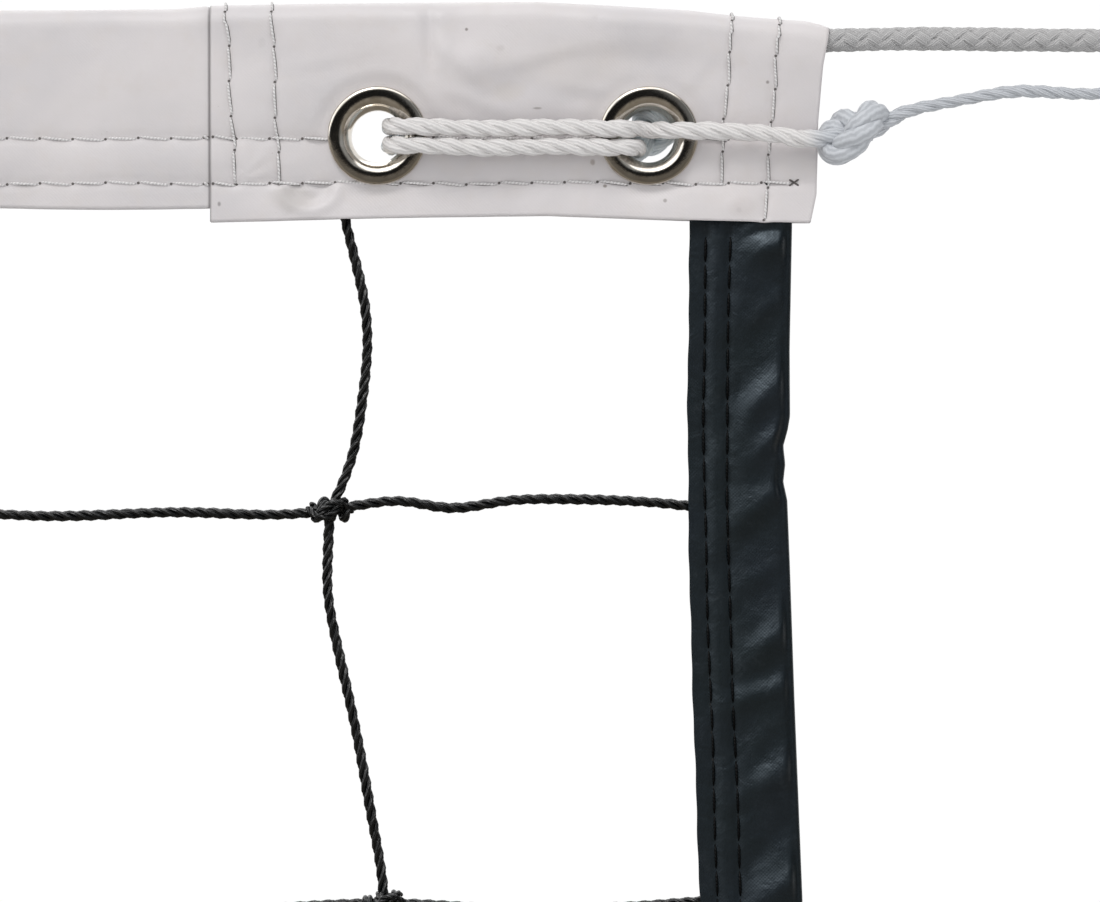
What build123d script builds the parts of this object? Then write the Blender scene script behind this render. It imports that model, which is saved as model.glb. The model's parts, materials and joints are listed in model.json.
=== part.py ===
"""Court net with a folded vinyl headband, laced end sleeves, knotted square netting and vinyl edge tapes.

Frame: +Z up, the net hangs in the XZ plane, -Y is the front face.
Origin: middle of the lower tape's length and thickness, at its bottom edge. Units: millimetres.
"""

import os
from math import cos, radians, sin

from build123d import *

os.makedirs("parts", exist_ok=True)

# ---------------------------------------------------------------- driving sizes
BOTH = (-1, 1)
SIDES = (("left", -1), ("right", 1))

# netting
cell = 97.5                 # knot-to-knot pitch of the square netting
cells_wide = 97             # cells between the two selvage twines
twine_r = 1.4
knot_r = 3.7                # netting knot, radius about its own row
knot_half = 6.0             # netting knot, half length along its row
knot_bore_gap = 0.08        # between a knot and the row twine it surrounds
knot_gap = 0.3              # clearance kept around knots and twine ends
row_z = [890.5 - cell * k for k in range(9)]
top_row_z = 995.0           # hidden row held inside the headband
low_row_z = 14.0            # hidden row held inside the lower tape
low_row_half = 4718.0
column_x = [cell * (k - cells_wide / 2) for k in range(cells_wide + 1)]
inner_columns = column_x[1:-1]
selvage_columns = (column_x[0], column_x[-1])
selvage_x = column_x[-1]
row_half = selvage_x - twine_r - knot_gap

# hanging net: each panel but the last ends at a fold along its lowest row
net_top_z = 960.8
panel_rows = (row_z[:1], row_z[1:4], row_z[4:7], row_z[7:])
fold_gap = 1.0              # side tapes stop this far from a fold

# headband: strip folded over the headline, open edge at the bottom
wall = 0.8                  # vinyl thickness, all strips
band_half = 4746.0
band_edge_z = 966.5
rope_low_z = 1008.0         # headline axis
rope_high_z = 1011.4        # top centre of the loose pocket around the headline
band_pocket_r = 4.1
band_flap = 2.4             # half thickness over both flaps

# end sleeve: second strip folded over each end of the band
sleeve_inner_x = 4601.75
sleeve_end_low_x = 4751.3
sleeve_end_high_x = 4756.3
sleeve_edge_z = 963.0
sleeve_gap = 0.1
sleeve_pocket_r = band_pocket_r + sleeve_gap + wall
sleeve_flap = band_flap + sleeve_gap + wall
sleeve_extra = 4.0          # length beyond the end, trimmed off on a slant

# stitching
stitch_z = (983.5, 972.25)
stitch_w = 0.6
stitch_t = 0.3
stitch_gap = 0.02           # between a thread and the cloth
sleeve_stitch_x = (4605.9, 4617.9, 4730.9, 4742.4)
sleeve_stitch_low_z = 972.0
sleeve_stitch_high_z = 1003.5

# headline and its free ends
headline_r = 3.0
headline_fixed_x = 4816.0

# eyelets, rolled grommet in front and washer behind
eyelet_x = (4643.6, 4711.4)
eyelet_z = 984.0
eyelet_bore_r = 6.5
eyelet_rim_r = 12.25
eyelet_wall = 0.5
hole_gap = 0.1              # between an eyelet barrel and the cloth
rim_gap = 0.4               # between an eyelet rim and the stitching
seat_gap = 0.05             # between an eyelet and the cloth face
washer_t = 1.3

# tie cord
cord_r = 2.2
cord_front_y = -7.9
cord_back_y = 8.2
lacing_lengths = 24         # lengths that the laced run is laid down in
tie_knot_x = 4762.1
tie_knot_z = 984.0
end_knot_x = 4714.9
end_knot_y = 13.2
end_knot_z = 985.2
knot_to_cord = 8.9          # from a cord knot's centre to the end of the laced run

# side tapes: strip folded over the selvage, open edge inwards
side_in_x = selvage_x - 7.0
side_out_x = selvage_x + 19.0
side_mid_x = (side_in_x + side_out_x) / 2
side_flap = 2.4
side_edge_wall = 1.2        # thickness at the folded outer edge
side_overcut = 1.6          # hollow runs this far past the open edge
side_stitch_x = (4726.0, 4731.75)

# lower tape and its rope
low_tape_h = 26.0
low_half = side_out_x
low_pocket_r = 3.0
low_stitch_z = (21.0, 15.5)
low_rope_r = 2.0
low_rope_z = 3.0
low_fixed_x = 4808.0
low_tail = 200.0
low_eyelet_x = side_mid_x
low_eyelet_z = 15.5
low_bore_r = 5.0
low_rim_r = 8.5

cut_depth = 40.0            # front-to-back cutters, centred on the net
overcut = 2.0               # hollows run this far past a strip's open edge

eyelet_places = [(s * x, 0, eyelet_z) for s in BOTH for x in eyelet_x]
low_eyelet_places = [(s * low_eyelet_x, 0, low_eyelet_z) for s in BOTH]


# ---------------------------------------------------------------- shared helpers
def save(builder, label):
    builder.part.label = label
    export_step(builder.part, f"parts/{label}.step")


def seam_y(flap):
    """Distance of a thread's middle from the net plane."""
    return flap + stitch_gap + stitch_t / 2


def cut_round(places, radius):
    """Cut front-to-back holes from the part being built."""
    with Locations(*places):
        Cylinder(radius, cut_depth, rotation=(90, 0, 0), mode=Mode.SUBTRACT)


def draw_folded_strip(pocket_r, flap, edge_z):
    """Draw the section of a strip folded over the headline in the sketch being built."""
    pocket_height = rope_high_z - rope_low_z
    pocket_middle = (0, (rope_low_z + rope_high_z) / 2)
    flap_height = rope_low_z - edge_z
    flap_middle_z = (edge_z + rope_low_z) / 2
    with Locations(pocket_middle):
        SlotCenterToCenter(pocket_height, 2 * pocket_r, rotation=90)
    with Locations((0, flap_middle_z)):
        Rectangle(2 * flap, flap_height)
    with Locations(pocket_middle):
        SlotCenterToCenter(
            pocket_height, 2 * (pocket_r - wall), rotation=90, mode=Mode.SUBTRACT
        )
    with Locations((0, flap_middle_z - overcut / 2)):
        Rectangle(2 * (flap - wall), flap_height + overcut, mode=Mode.SUBTRACT)


def straight_rope(label, half_length, radius, z):
    """Round rope along X, centred on the net."""
    with BuildPart() as rope:
        with BuildSketch(Plane.YZ.offset(-half_length)):
            with Locations((0, z)):
                Circle(radius)
        extrude(amount=2 * half_length)
    save(rope, label)


def drooping_tail(label, sign, start, radius, rise, bend, bend_r, end, lead=0.0):
    """Rope end with a ball at its start: straight lead, arc bending down, straight end.

    rise: angle of the start above horizontal; bend: angle turned through; both in degrees.
    """
    start_tilt = radians(rise)
    end_tilt = radians(rise - bend)

    def heading(tilt):
        return Vector(sign * cos(tilt), 0, sin(tilt))

    x, y, z = start
    start = Vector(sign * x, y, z)
    arc_start = start + heading(start_tilt) * lead

    def on_arc(tilt):
        out = bend_r * (sin(start_tilt) - sin(tilt))
        up = bend_r * (cos(tilt) - cos(start_tilt))
        return arc_start + Vector(sign * out, 0, up)

    arc_end = on_arc(end_tilt)
    with BuildPart() as tail:
        with BuildLine(Plane.XY) as run:
            if lead:
                Line(start, arc_start)
            ThreePointArc(arc_start, on_arc(radians(rise - bend / 2)), arc_end)
            Line(arc_end, arc_end + heading(end_tilt) * end)
        with BuildSketch(Plane(origin=start, z_dir=heading(start_tilt))):
            Circle(radius)
        sweep(path=run.wires()[0])
        with Locations(start):
            Sphere(radius)
    save(tail, label)


# ---------------------------------------------------------------- headband
with BuildPart() as headband:
    with BuildSketch(Plane.YZ.offset(-band_half)):
        draw_folded_strip(band_pocket_r, band_flap, band_edge_z)
    extrude(amount=2 * band_half)
    cut_round(eyelet_places, eyelet_bore_r + eyelet_wall + hole_gap)
save(headband, "headband")


# ---------------------------------------------------------------- end sleeves
def end_sleeve(side, sign):
    """Sleeve built at the right end, mirrored for the left."""
    top_z = rope_high_z + sleeve_pocket_r
    trim_x = sleeve_end_high_x + 20
    trim_margin = 5
    with BuildPart() as sleeve:
        with BuildSketch(Plane.YZ.offset(sleeve_inner_x)):
            draw_folded_strip(sleeve_pocket_r, sleeve_flap, sleeve_edge_z)
        extrude(amount=sleeve_end_high_x + sleeve_extra - sleeve_inner_x)
        # the outer end leans outwards towards the headline
        with BuildSketch(Plane.XZ.offset(-cut_depth / 2)):
            with BuildLine():
                Polyline(
                    (sleeve_end_low_x, sleeve_edge_z),
                    (sleeve_end_high_x, top_z),
                    (trim_x, top_z + trim_margin),
                    (trim_x, sleeve_edge_z - trim_margin),
                    (sleeve_end_low_x - 0.5, sleeve_edge_z - trim_margin),
                    close=True,
                )
            make_face()
        extrude(amount=cut_depth, mode=Mode.SUBTRACT)
        cut_round(
            [(x, 0, eyelet_z) for x in eyelet_x], eyelet_bore_r + eyelet_wall + hole_gap
        )
        if sign < 0:
            mirror(about=Plane.YZ, mode=Mode.REPLACE)
    save(sleeve, f"end_sleeve_{side}")


for side, sign in SIDES:
    end_sleeve(side, sign)

# ---------------------------------------------------------------- seams of the headband
band_seam_half = sleeve_inner_x - 1.0
with BuildPart() as band_stitching:
    with Locations(*[(0, s * seam_y(band_flap), z) for z in stitch_z for s in BOTH]):
        Box(2 * band_seam_half, stitch_t, stitch_w)
save(band_stitching, "band_stitching")

seam_in_x = sleeve_inner_x + 2.5
seam_out_x = sleeve_end_low_x - 2.0
seam_mid_x = (seam_in_x + seam_out_x) / 2
seam_mid_z = (sleeve_stitch_low_z + sleeve_stitch_high_z) / 2
sleeve_seam_y = seam_y(sleeve_flap)
with BuildPart() as sleeve_stitching:
    with Locations(
        *[(e * seam_mid_x, s * sleeve_seam_y, z) for e in BOTH for z in stitch_z for s in BOTH]
    ):
        Box(seam_out_x - seam_in_x, stitch_t, stitch_w)
    with Locations(
        *[
            (e * x, s * sleeve_seam_y, seam_mid_z)
            for e in BOTH
            for x in sleeve_stitch_x
            for s in BOTH
        ]
    ):
        Box(stitch_w, stitch_t, sleeve_stitch_high_z - sleeve_stitch_low_z)
    cut_round(eyelet_places, eyelet_rim_r + rim_gap)
save(sleeve_stitching, "sleeve_stitching")


# ---------------------------------------------------------------- eyelets and washers
def grommet(label, x, z, flap, bore, rim):
    """Domed front rim with a funnel, barrel through the cloth, end rolled over the washer."""
    crown = (bore + rim) / 2 - 0.3
    seat = flap + seat_gap
    high = seat + 1.85
    shoulder = high - 0.75
    back = seat + washer_t
    funnel = seat - 0.4
    # outline points: radius from the bore axis, y
    with BuildPart() as eyelet:
        with BuildSketch(Plane(origin=(x, 0, z), x_dir=(1, 0, 0), z_dir=(0, 0, 1))):
            with BuildLine():
                Polyline(
                    (rim, -seat),
                    (bore + eyelet_wall, -seat),
                    (bore + eyelet_wall, back + 0.05),
                    (bore + 1.5, back + 0.05),
                    (bore + 1.7, back + 0.3),
                    (bore + 1.4, back + 0.55),
                    (bore + 0.5, back + 0.5),
                    (bore, back - 0.2),
                    (bore, -funnel),
                )
                ThreePointArc((bore, -funnel), (bore + 0.75, -shoulder), (crown, -high))
                ThreePointArc((crown, -high), (rim - 0.75, -shoulder), (rim, -seat))
            make_face()
        revolve(axis=Axis((x, 0, z), (0, 1, 0)))
    save(eyelet, label)


def washer(label, x, z, flap, bore, rim):
    """Back ring of an eyelet, lightly domed."""
    seat = flap + seat_gap
    back = seat + washer_t
    inner = bore + eyelet_wall + 0.05
    # outline points: radius from the bore axis, y
    with BuildPart() as ring:
        with BuildSketch(Plane(origin=(x, 0, z), x_dir=(1, 0, 0), z_dir=(0, 0, 1))):
            with BuildLine():
                Polyline((rim, seat), (inner, seat), (inner, back), (bore + 1.9, back))
                ThreePointArc((bore + 1.9, back), (rim - 1.2, back - 0.25), (rim, seat))
            make_face()
        revolve(axis=Axis((x, 0, z), (0, 1, 0)))
    save(ring, label)


top_size = (eyelet_z, sleeve_flap, eyelet_bore_r, eyelet_rim_r)
low_size = (low_eyelet_z, side_flap, low_bore_r, low_rim_r)
for side, sign in SIDES:
    # name before and after the kind of piece, x, sizes
    for before, after, x, size in (
        ("", f"{side}_inner", eyelet_x[0], top_size),
        ("", f"{side}_outer", eyelet_x[1], top_size),
        ("lower_", side, low_eyelet_x, low_size),
    ):
        grommet(f"{before}eyelet_{after}", sign * x, *size)
        washer(f"{before}washer_{after}", sign * x, *size)

# ---------------------------------------------------------------- headline
# the fixed run and the ball that starts each tail meet one radius inside headline_fixed_x + r
straight_rope("headline_rope", headline_fixed_x - headline_r, headline_r, rope_low_z)
for side, sign in SIDES:
    drooping_tail(
        f"headline_tail_{side}",
        sign,
        start=(headline_fixed_x + headline_r, 0, rope_low_z),
        radius=headline_r,
        rise=0.0,
        bend=50.0,
        bend_r=250.0,
        end=60.0,
        lead=10.0,
    )

# ---------------------------------------------------------------- tie cords
# two turns of cord round the bridge between the eyelets, from the stopper knot to the
# end knot, at the right end of the net: x, y, z
inner_x, outer_x = eyelet_x
lacing_points = [
    # along the front to the inner eyelet
    (tie_knot_x - knot_to_cord, cord_front_y, 983.6),
    (4738.0, cord_front_y, 984.4),
    (outer_x + 9.0, cord_front_y, 985.3),
    (outer_x - 9.0, cord_front_y, 985.7),
    (4672.0, cord_front_y, 985.8),
    (inner_x + 10.5, cord_front_y, 985.9),
    # through it to the back
    (inner_x + 5.6, -7.3, 986.1),
    (inner_x + 3.4, -4.6, 986.2),
    (inner_x + 2.5, 0, 986.25),
    (inner_x + 3.4, 4.6, 986.2),
    (inner_x + 5.6, 7.4, 986.1),
    (inner_x + 10.5, cord_back_y, 986.0),
    (4666.0, cord_back_y, 985.7),
    (4680.0, cord_back_y, 983.8),
    (4693.0, cord_back_y, 981.4),
    (outer_x - 10.5, cord_back_y, 980.9),
    # through the outer eyelet to the front
    (outer_x - 5.4, 7.4, 981.1),
    (outer_x - 3.0, 4.6, 981.4),
    (outer_x - 2.1, 0, 981.5),
    (outer_x - 3.0, -4.6, 981.4),
    (outer_x - 5.4, -7.3, 981.1),
    (outer_x - 10.5, cord_front_y, 980.9),
    (4672.0, cord_front_y, 981.0),
    (inner_x + 10.5, cord_front_y, 981.2),
    # through the inner eyelet again, then over the first turn at the back
    (inner_x + 5.6, -7.3, 981.5),
    (inner_x + 3.4, -4.6, 981.7),
    (inner_x + 2.5, 0, 981.75),
    (inner_x + 3.1, 4.6, 981.75),
    (inner_x + 5.3, 8.0, 981.3),
    (inner_x + 10.5, 9.8, 980.9),
    (4665.0, 11.8, 981.4),
    (4680.0, 13.4, 983.4),
    (4695.0, 13.4, 985.0),
    (end_knot_x - knot_to_cord, end_knot_y, end_knot_z),
]


def tie_lacing(side, sign):
    """One smooth curve, laid down in short lengths that share their end sections."""
    course = Edge.make_spline([Vector(sign * x, y, z) for x, y, z in lacing_points])
    with BuildPart() as lacing:
        for n in range(lacing_lengths):
            at = [(n + k / 5) / lacing_lengths for k in range(6)]
            with BuildLine() as run:
                Spline(
                    *[course @ t for t in at], tangents=(course % at[0], course % at[-1])
                )
            with BuildSketch(Plane(origin=course @ at[0], z_dir=course % at[0])):
                Circle(cord_r)
            sweep(path=run.wires()[0], clean=False)
    save(lacing, f"tie_lacing_{side}")


def cord_knot(label, center, half_length, radius):
    """Egg-shaped knot, its long axis along X."""
    with BuildPart() as knot:
        with BuildSketch(Plane(origin=center, x_dir=(1, 0, 0), z_dir=(0, -1, 0))):
            Ellipse(half_length, radius)
            # keep the upper half only
            with Locations((0, -20)):
                Rectangle(60, 40, mode=Mode.SUBTRACT)
        revolve(axis=Axis(center, (1, 0, 0)))
    save(knot, label)


for side, sign in SIDES:
    tie_lacing(side, sign)
    # stopper knot outside the sleeve
    cord_knot(f"tie_knot_{side}", (sign * tie_knot_x, cord_front_y, tie_knot_z), 8.2, 6.6)
    # end knot behind the outer eyelet
    cord_knot(f"tie_end_knot_{side}", (sign * end_knot_x, end_knot_y, end_knot_z), 6.6, 6.2)
    # free end: rises out of the stopper knot, then droops
    drooping_tail(
        f"tie_tail_{side}",
        sign,
        start=(4772.6, cord_front_y, 988.0),
        radius=1.7,
        rise=20.0,
        bend=90.0,
        bend_r=120.0,
        end=60.0,
    )

# ---------------------------------------------------------------- held in the headband
stub_low = net_top_z + 1.8
stub_high = top_row_z - twine_r - knot_gap
with BuildPart() as top_twine:
    with BuildSketch(Plane.YZ.offset(-row_half)):
        with Locations((0, top_row_z)):
            Circle(twine_r)
    extrude(amount=2 * row_half)
    with BuildSketch(Plane.XY.offset(stub_low)):
        with Locations(*[(x, 0) for x in column_x]):
            Circle(twine_r)
    extrude(amount=stub_high - stub_low)
save(top_twine, "top_twine")

tab_gap = 2.2               # from the selvage axis to the tab
tab_w = 16.6
tab_t = 2.6
tab_high = 990.0
tab_x = selvage_x + tab_gap + tab_w / 2
with BuildPart() as side_tape_tabs:
    with Locations(*[(s * tab_x, 0, (stub_low + tab_high) / 2) for s in BOTH]):
        Box(tab_w, tab_t, tab_high - stub_low)
save(side_tape_tabs, "side_tape_tabs")

# ---------------------------------------------------------------- hanging net, four panels
# one knot: a bead round the row twine, a closed ring
knot_bore_r = twine_r + knot_bore_gap
with BuildPart() as one_knot:
    with BuildSketch(Plane.XY):
        with BuildLine():
            Polyline(
                (-knot_half, knot_bore_r),
                (-knot_half * 0.8, knot_r * 0.78),
                (-knot_half * 0.35, knot_r),
                (knot_half * 0.35, knot_r),
                (knot_half * 0.8, knot_r * 0.78),
                (knot_half, knot_bore_r),
            )
            Line((knot_half, knot_bore_r), (-knot_half, knot_bore_r))
        make_face()
    revolve(axis=Axis.X)


def mesh_rows(n, rows, is_last):
    """Row twines; the last panel also has the row held in the lower tape."""
    runs = [(row_half, z) for z in rows]
    if is_last:
        runs.append((low_row_half, low_row_z))
    with BuildPart() as twines:
        for half_length, z in runs:
            with BuildSketch(Plane.YZ.offset(-half_length)):
                with Locations((0, z)):
                    Circle(twine_r)
            extrude(amount=2 * half_length)
    save(twines, f"mesh_rows_{n}")


def mesh_columns(n, high, rows, is_last):
    """Column twines, broken at each row; the selvages stop above the lower tape."""
    clear = knot_r + knot_gap
    tops = [high if n == 1 else high - clear] + [z - clear for z in rows]
    bottoms = [z + clear for z in rows]
    if is_last:
        bottoms.append(low_row_z + twine_r + knot_gap)
    with BuildPart() as twines:
        # above a fold the last top has no bottom: the next panel carries on from there
        for top, bottom in zip(tops, bottoms):
            for columns, low in (
                (inner_columns, bottom),
                (selvage_columns, max(bottom, low_tape_h + 2.0)),
            ):
                with BuildSketch(Plane.XY.offset(low)):
                    with Locations(*[(x, 0) for x in columns]):
                        Circle(twine_r)
                extrude(amount=top - low)
    save(twines, f"mesh_columns_{n}")


def mesh_knots(n, rows):
    with BuildPart() as knots:
        with Locations(*[(x, 0, z) for z in rows for x in inner_columns]):
            add(one_knot.part)
    save(knots, f"mesh_knots_{n}")


def side_tape(n, side, sign, high, low):
    width = side_out_x - side_in_x
    hollow_w = width - side_edge_wall + side_overcut
    hollow_x = side_mid_x - (side_edge_wall + side_overcut) / 2
    with BuildPart() as tape:
        with BuildSketch(Plane.XY.offset(low)) as section:
            with Locations((sign * side_mid_x, 0)):
                Rectangle(width, 2 * side_flap)
            outer = section.vertices().group_by(Axis.X)[0 if sign < 0 else -1]
            fillet(outer, side_flap - 0.05)
            with Locations((sign * hollow_x, 0)):
                Rectangle(hollow_w, 2 * (side_flap - wall), mode=Mode.SUBTRACT)
        extrude(amount=high - low)
    save(tape, f"side_tape_{side}_{n}")


def side_stitching(n, high, low):
    y = seam_y(side_flap)
    z = (high + low) / 2
    with BuildPart() as stitching:
        with Locations(
            *[(e * x, s * y, z) for e in BOTH for x in side_stitch_x for s in BOTH]
        ):
            Box(stitch_w, stitch_t, high - low - 1.0)
    save(stitching, f"side_stitching_{n}")


panel_high = net_top_z
for n, rows in enumerate(panel_rows, start=1):
    is_last = n == len(panel_rows)
    mesh_rows(n, rows, is_last)
    mesh_columns(n, panel_high, rows, is_last)
    mesh_knots(n, rows)
    tape_high = panel_high if n == 1 else panel_high - fold_gap
    tape_low = low_tape_h + 0.6 if is_last else rows[-1] + fold_gap
    for side, sign in SIDES:
        side_tape(n, side, sign, tape_high, tape_low)
    side_stitching(n, tape_high, tape_low)
    panel_high = rows[-1]

# ---------------------------------------------------------------- lower tape
low_flap_h = low_tape_h - low_rope_z
low_flap_mid_z = (low_tape_h + low_rope_z) / 2
with BuildPart() as lower_tape:
    with BuildSketch(Plane.YZ.offset(-low_half)):
        with Locations((0, low_rope_z)):
            Circle(low_pocket_r)
        with Locations((0, low_flap_mid_z)):
            Rectangle(2 * side_flap, low_flap_h)
        with Locations((0, low_rope_z)):
            Circle(low_pocket_r - wall, mode=Mode.SUBTRACT)
        with Locations((0, low_flap_mid_z + overcut / 2)):
            Rectangle(2 * (side_flap - wall), low_flap_h + overcut, mode=Mode.SUBTRACT)
    extrude(amount=2 * low_half)
    cut_round(low_eyelet_places, low_bore_r + eyelet_wall + hole_gap)
save(lower_tape, "lower_tape")

with BuildPart() as lower_stitching:
    with Locations(*[(0, s * seam_y(side_flap), z) for z in low_stitch_z for s in BOTH]):
        Box(2 * (low_half - 4.0), stitch_t, stitch_w)
    cut_round(low_eyelet_places, low_rim_r + rim_gap)
save(lower_stitching, "lower_stitching")

# ---------------------------------------------------------------- lower rope
straight_rope("lower_rope", low_fixed_x - low_rope_r, low_rope_r, low_rope_z)
for side, sign in SIDES:
    tail_start = (sign * (low_fixed_x + low_rope_r), 0, low_rope_z)
    with BuildPart() as lower_tail:
        with BuildSketch(Plane(origin=tail_start, z_dir=(sign, 0, 0))):
            Circle(low_rope_r)
        extrude(amount=low_tail)
        with Locations(tail_start):
            Sphere(low_rope_r)
    save(lower_tail, f"lower_tail_{side}")
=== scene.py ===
# A wide net: white headband with reinforced end sleeves, black twine mesh, black side and lower
# tapes, nickel eyelets, tie cords, and a rope through the headband and the lower tape.
# It hangs in the XZ plane: X along its width, Z up from the lower edge, its front towards -Y.
# Shapes are written in millimetres for the right-hand end (+X); the left-hand end is a mirror image.
import json
import math

import bpy
import numpy as np
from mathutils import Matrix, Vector


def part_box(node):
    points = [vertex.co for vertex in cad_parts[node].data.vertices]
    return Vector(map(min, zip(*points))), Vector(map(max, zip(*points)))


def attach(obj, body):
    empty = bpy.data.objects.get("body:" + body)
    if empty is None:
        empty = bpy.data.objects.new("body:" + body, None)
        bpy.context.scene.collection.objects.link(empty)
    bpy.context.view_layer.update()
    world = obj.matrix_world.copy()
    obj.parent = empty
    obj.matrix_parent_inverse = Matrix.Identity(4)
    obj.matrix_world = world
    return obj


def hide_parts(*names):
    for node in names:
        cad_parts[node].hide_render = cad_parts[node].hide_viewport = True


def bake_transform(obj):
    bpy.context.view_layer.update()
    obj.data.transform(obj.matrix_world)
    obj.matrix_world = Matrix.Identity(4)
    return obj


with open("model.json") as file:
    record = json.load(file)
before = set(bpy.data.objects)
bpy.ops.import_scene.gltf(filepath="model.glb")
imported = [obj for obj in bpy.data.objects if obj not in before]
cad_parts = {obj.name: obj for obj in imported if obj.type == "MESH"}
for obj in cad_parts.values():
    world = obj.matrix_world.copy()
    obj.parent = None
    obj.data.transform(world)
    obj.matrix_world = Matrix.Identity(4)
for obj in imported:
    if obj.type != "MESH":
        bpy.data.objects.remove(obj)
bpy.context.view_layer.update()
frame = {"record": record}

MM = 0.001
TAU = 2 * math.pi
FRONT = (0, -1, 0)
BACK = (0, 1, 0)
SIDES = (("right", 1.0), ("left", -1.0))


# ------------------------------------------------------------------ places taken from the frame
def box_mm(node):
    low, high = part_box(node)
    return np.array(low) * 1000.0, np.array(high) * 1000.0


def box_centre(node):
    low, high = box_mm(node)
    return (low + high) / 2


JOINTS = {joint["name"]: joint for joint in frame["record"]["behaviour"]["joints"]}


def joint_mm(name):
    return np.array(JOINTS[name]["pos_m"]) * 1000


SLEEVE_X = float(box_mm("end_sleeve_right")[0][0])  # inner edge of the end sleeve
EYE_X = tuple(float(box_centre("eyelet_right_" + place)[0]) for place in ("inner", "outer"))
EYE_Z = float(box_centre("eyelet_right_inner")[2])
EYELETS = [(x, EYE_Z) for x in EYE_X]
LOWER_EYE = box_centre("lower_eyelet_right")[[0, 2]]
ROPE_Z = float(box_centre("headline_rope")[2])
FOLD_Z = [joint_mm(name)[2] for name in sorted(JOINTS) if name.startswith("fold_")]

MESH_HALF = float(box_mm("mesh_columns_2")[1][0]) - 1.4
CELLS = 97
CELL = 2 * MESH_HALF / CELLS
ROWS = 9
ROW_Z = FOLD_Z[1] - CELL * np.arange(ROWS)
COL_X = CELL * (np.arange(CELLS + 1) - CELLS / 2)
TWINE_LAY = 10.8  # length of one turn of the twine's strands


# ------------------------------------------------------------------ numbers and curves
def coords(*axes):
    """Points from their coordinates, each an array or a single number."""
    return np.stack(np.broadcast_arrays(*axes), -1)


def unit(vectors):
    return vectors / np.maximum(np.linalg.norm(vectors, axis=-1, keepdims=True), 1e-12)


def square_to(vectors, tangent):
    """The vectors with their part along the tangent taken out, at unit length."""
    return unit(vectors - tangent * np.sum(vectors * tangent, -1, keepdims=True))


def ease(first, second, share):
    return first * (1 - share) + second * share


def smooth01(x):
    x = np.clip(x, 0, 1)
    return x * x * (3 - 2 * x)


def bump(x, centre, width):
    return np.exp(-(((x - centre) / width) ** 2))


def spot(x, z, centre_x, centre_z, radius_x, radius_z):
    return np.exp(-(((x - centre_x) / radius_x) ** 2 + ((z - centre_z) / radius_z) ** 2))


def turned(x, z, centre_x, centre_z, angle):
    """Distances along and across a line through the centre."""
    cos, sin = math.cos(angle), math.sin(angle)
    dx, dz = x - centre_x, z - centre_z
    return dx * cos + dz * sin, -dx * sin + dz * cos


def look_up(table, value):
    return np.interp(value, *np.transpose(table))


def length(path):
    """Distance from the start at each point of the path."""
    return np.concatenate([[0], np.cumsum(np.linalg.norm(np.diff(path, axis=0), axis=1))])


def resample(at, places, points):
    return np.stack([np.interp(at, places, points[:, i]) for i in range(points.shape[1])], -1)


def spline(points, step):
    """Natural cubic spline with centripetal knots, resampled about every step mm."""
    points = np.asarray(points, float)
    chords = np.sqrt(np.linalg.norm(np.diff(points, axis=0), axis=1))
    knots = np.concatenate([[0], np.cumsum(chords)])
    count = len(knots)
    gaps = np.diff(knots)
    system = np.zeros((count, count))
    target = np.zeros((count, points.shape[1]))
    system[0, 0] = system[-1, -1] = 1
    for i in range(1, count - 1):
        system[i, i - 1 : i + 2] = gaps[i - 1], 2 * (gaps[i - 1] + gaps[i]), gaps[i]
        slope_out = (points[i + 1] - points[i]) / gaps[i]
        target[i] = 6 * (slope_out - (points[i] - points[i - 1]) / gaps[i - 1])
    bend = np.linalg.solve(system, target)

    def at(u):
        k = np.clip(np.searchsorted(knots, u, side="right") - 1, 0, count - 2)
        gap = gaps[k][:, None]
        before, after = (u - knots[k])[:, None], (knots[k + 1] - u)[:, None]
        return (
            bend[k] * after**3 / (6 * gap) + bend[k + 1] * before**3 / (6 * gap)
            + (points[k] / gap - bend[k] * gap / 6) * after
            + (points[k + 1] / gap - bend[k + 1] * gap / 6) * before
        )

    u = np.linspace(0, knots[-1], max(8 * count, 60))
    along = length(at(u))
    stations = max(2, int(round(along[-1] / step)) + 1)
    return at(np.interp(np.linspace(0, along[-1], stations), along, u))


def tangents(path):
    return unit(np.gradient(path, axis=0))


def transport(path):
    """Normals and binormals carried along the path without twist."""
    tangent = tangents(path)
    normal = np.array([0.0, -1.0, 0.0])
    if abs(normal @ tangent[0]) > 0.95:
        normal = np.array([0.0, 0.0, 1.0])
    normals = np.zeros_like(tangent)
    for i in range(len(tangent)):
        normal = normal - tangent[i] * (normal @ tangent[i])
        normal = normal / np.linalg.norm(normal)
        normals[i] = normal
    return normals, np.cross(tangent, normals)


def frame_towards(path, direction):
    """Normals and binormals with the normals as near as they can be to the direction(s)."""
    tangent = tangents(path)
    normals = square_to(np.asarray(direction, float), tangent)
    return normals, np.cross(tangent, normals)


def swing(angle, frames):
    normal, binormal = frames
    return np.cos(angle)[:, None] * normal + np.sin(angle)[:, None] * binormal


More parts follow.
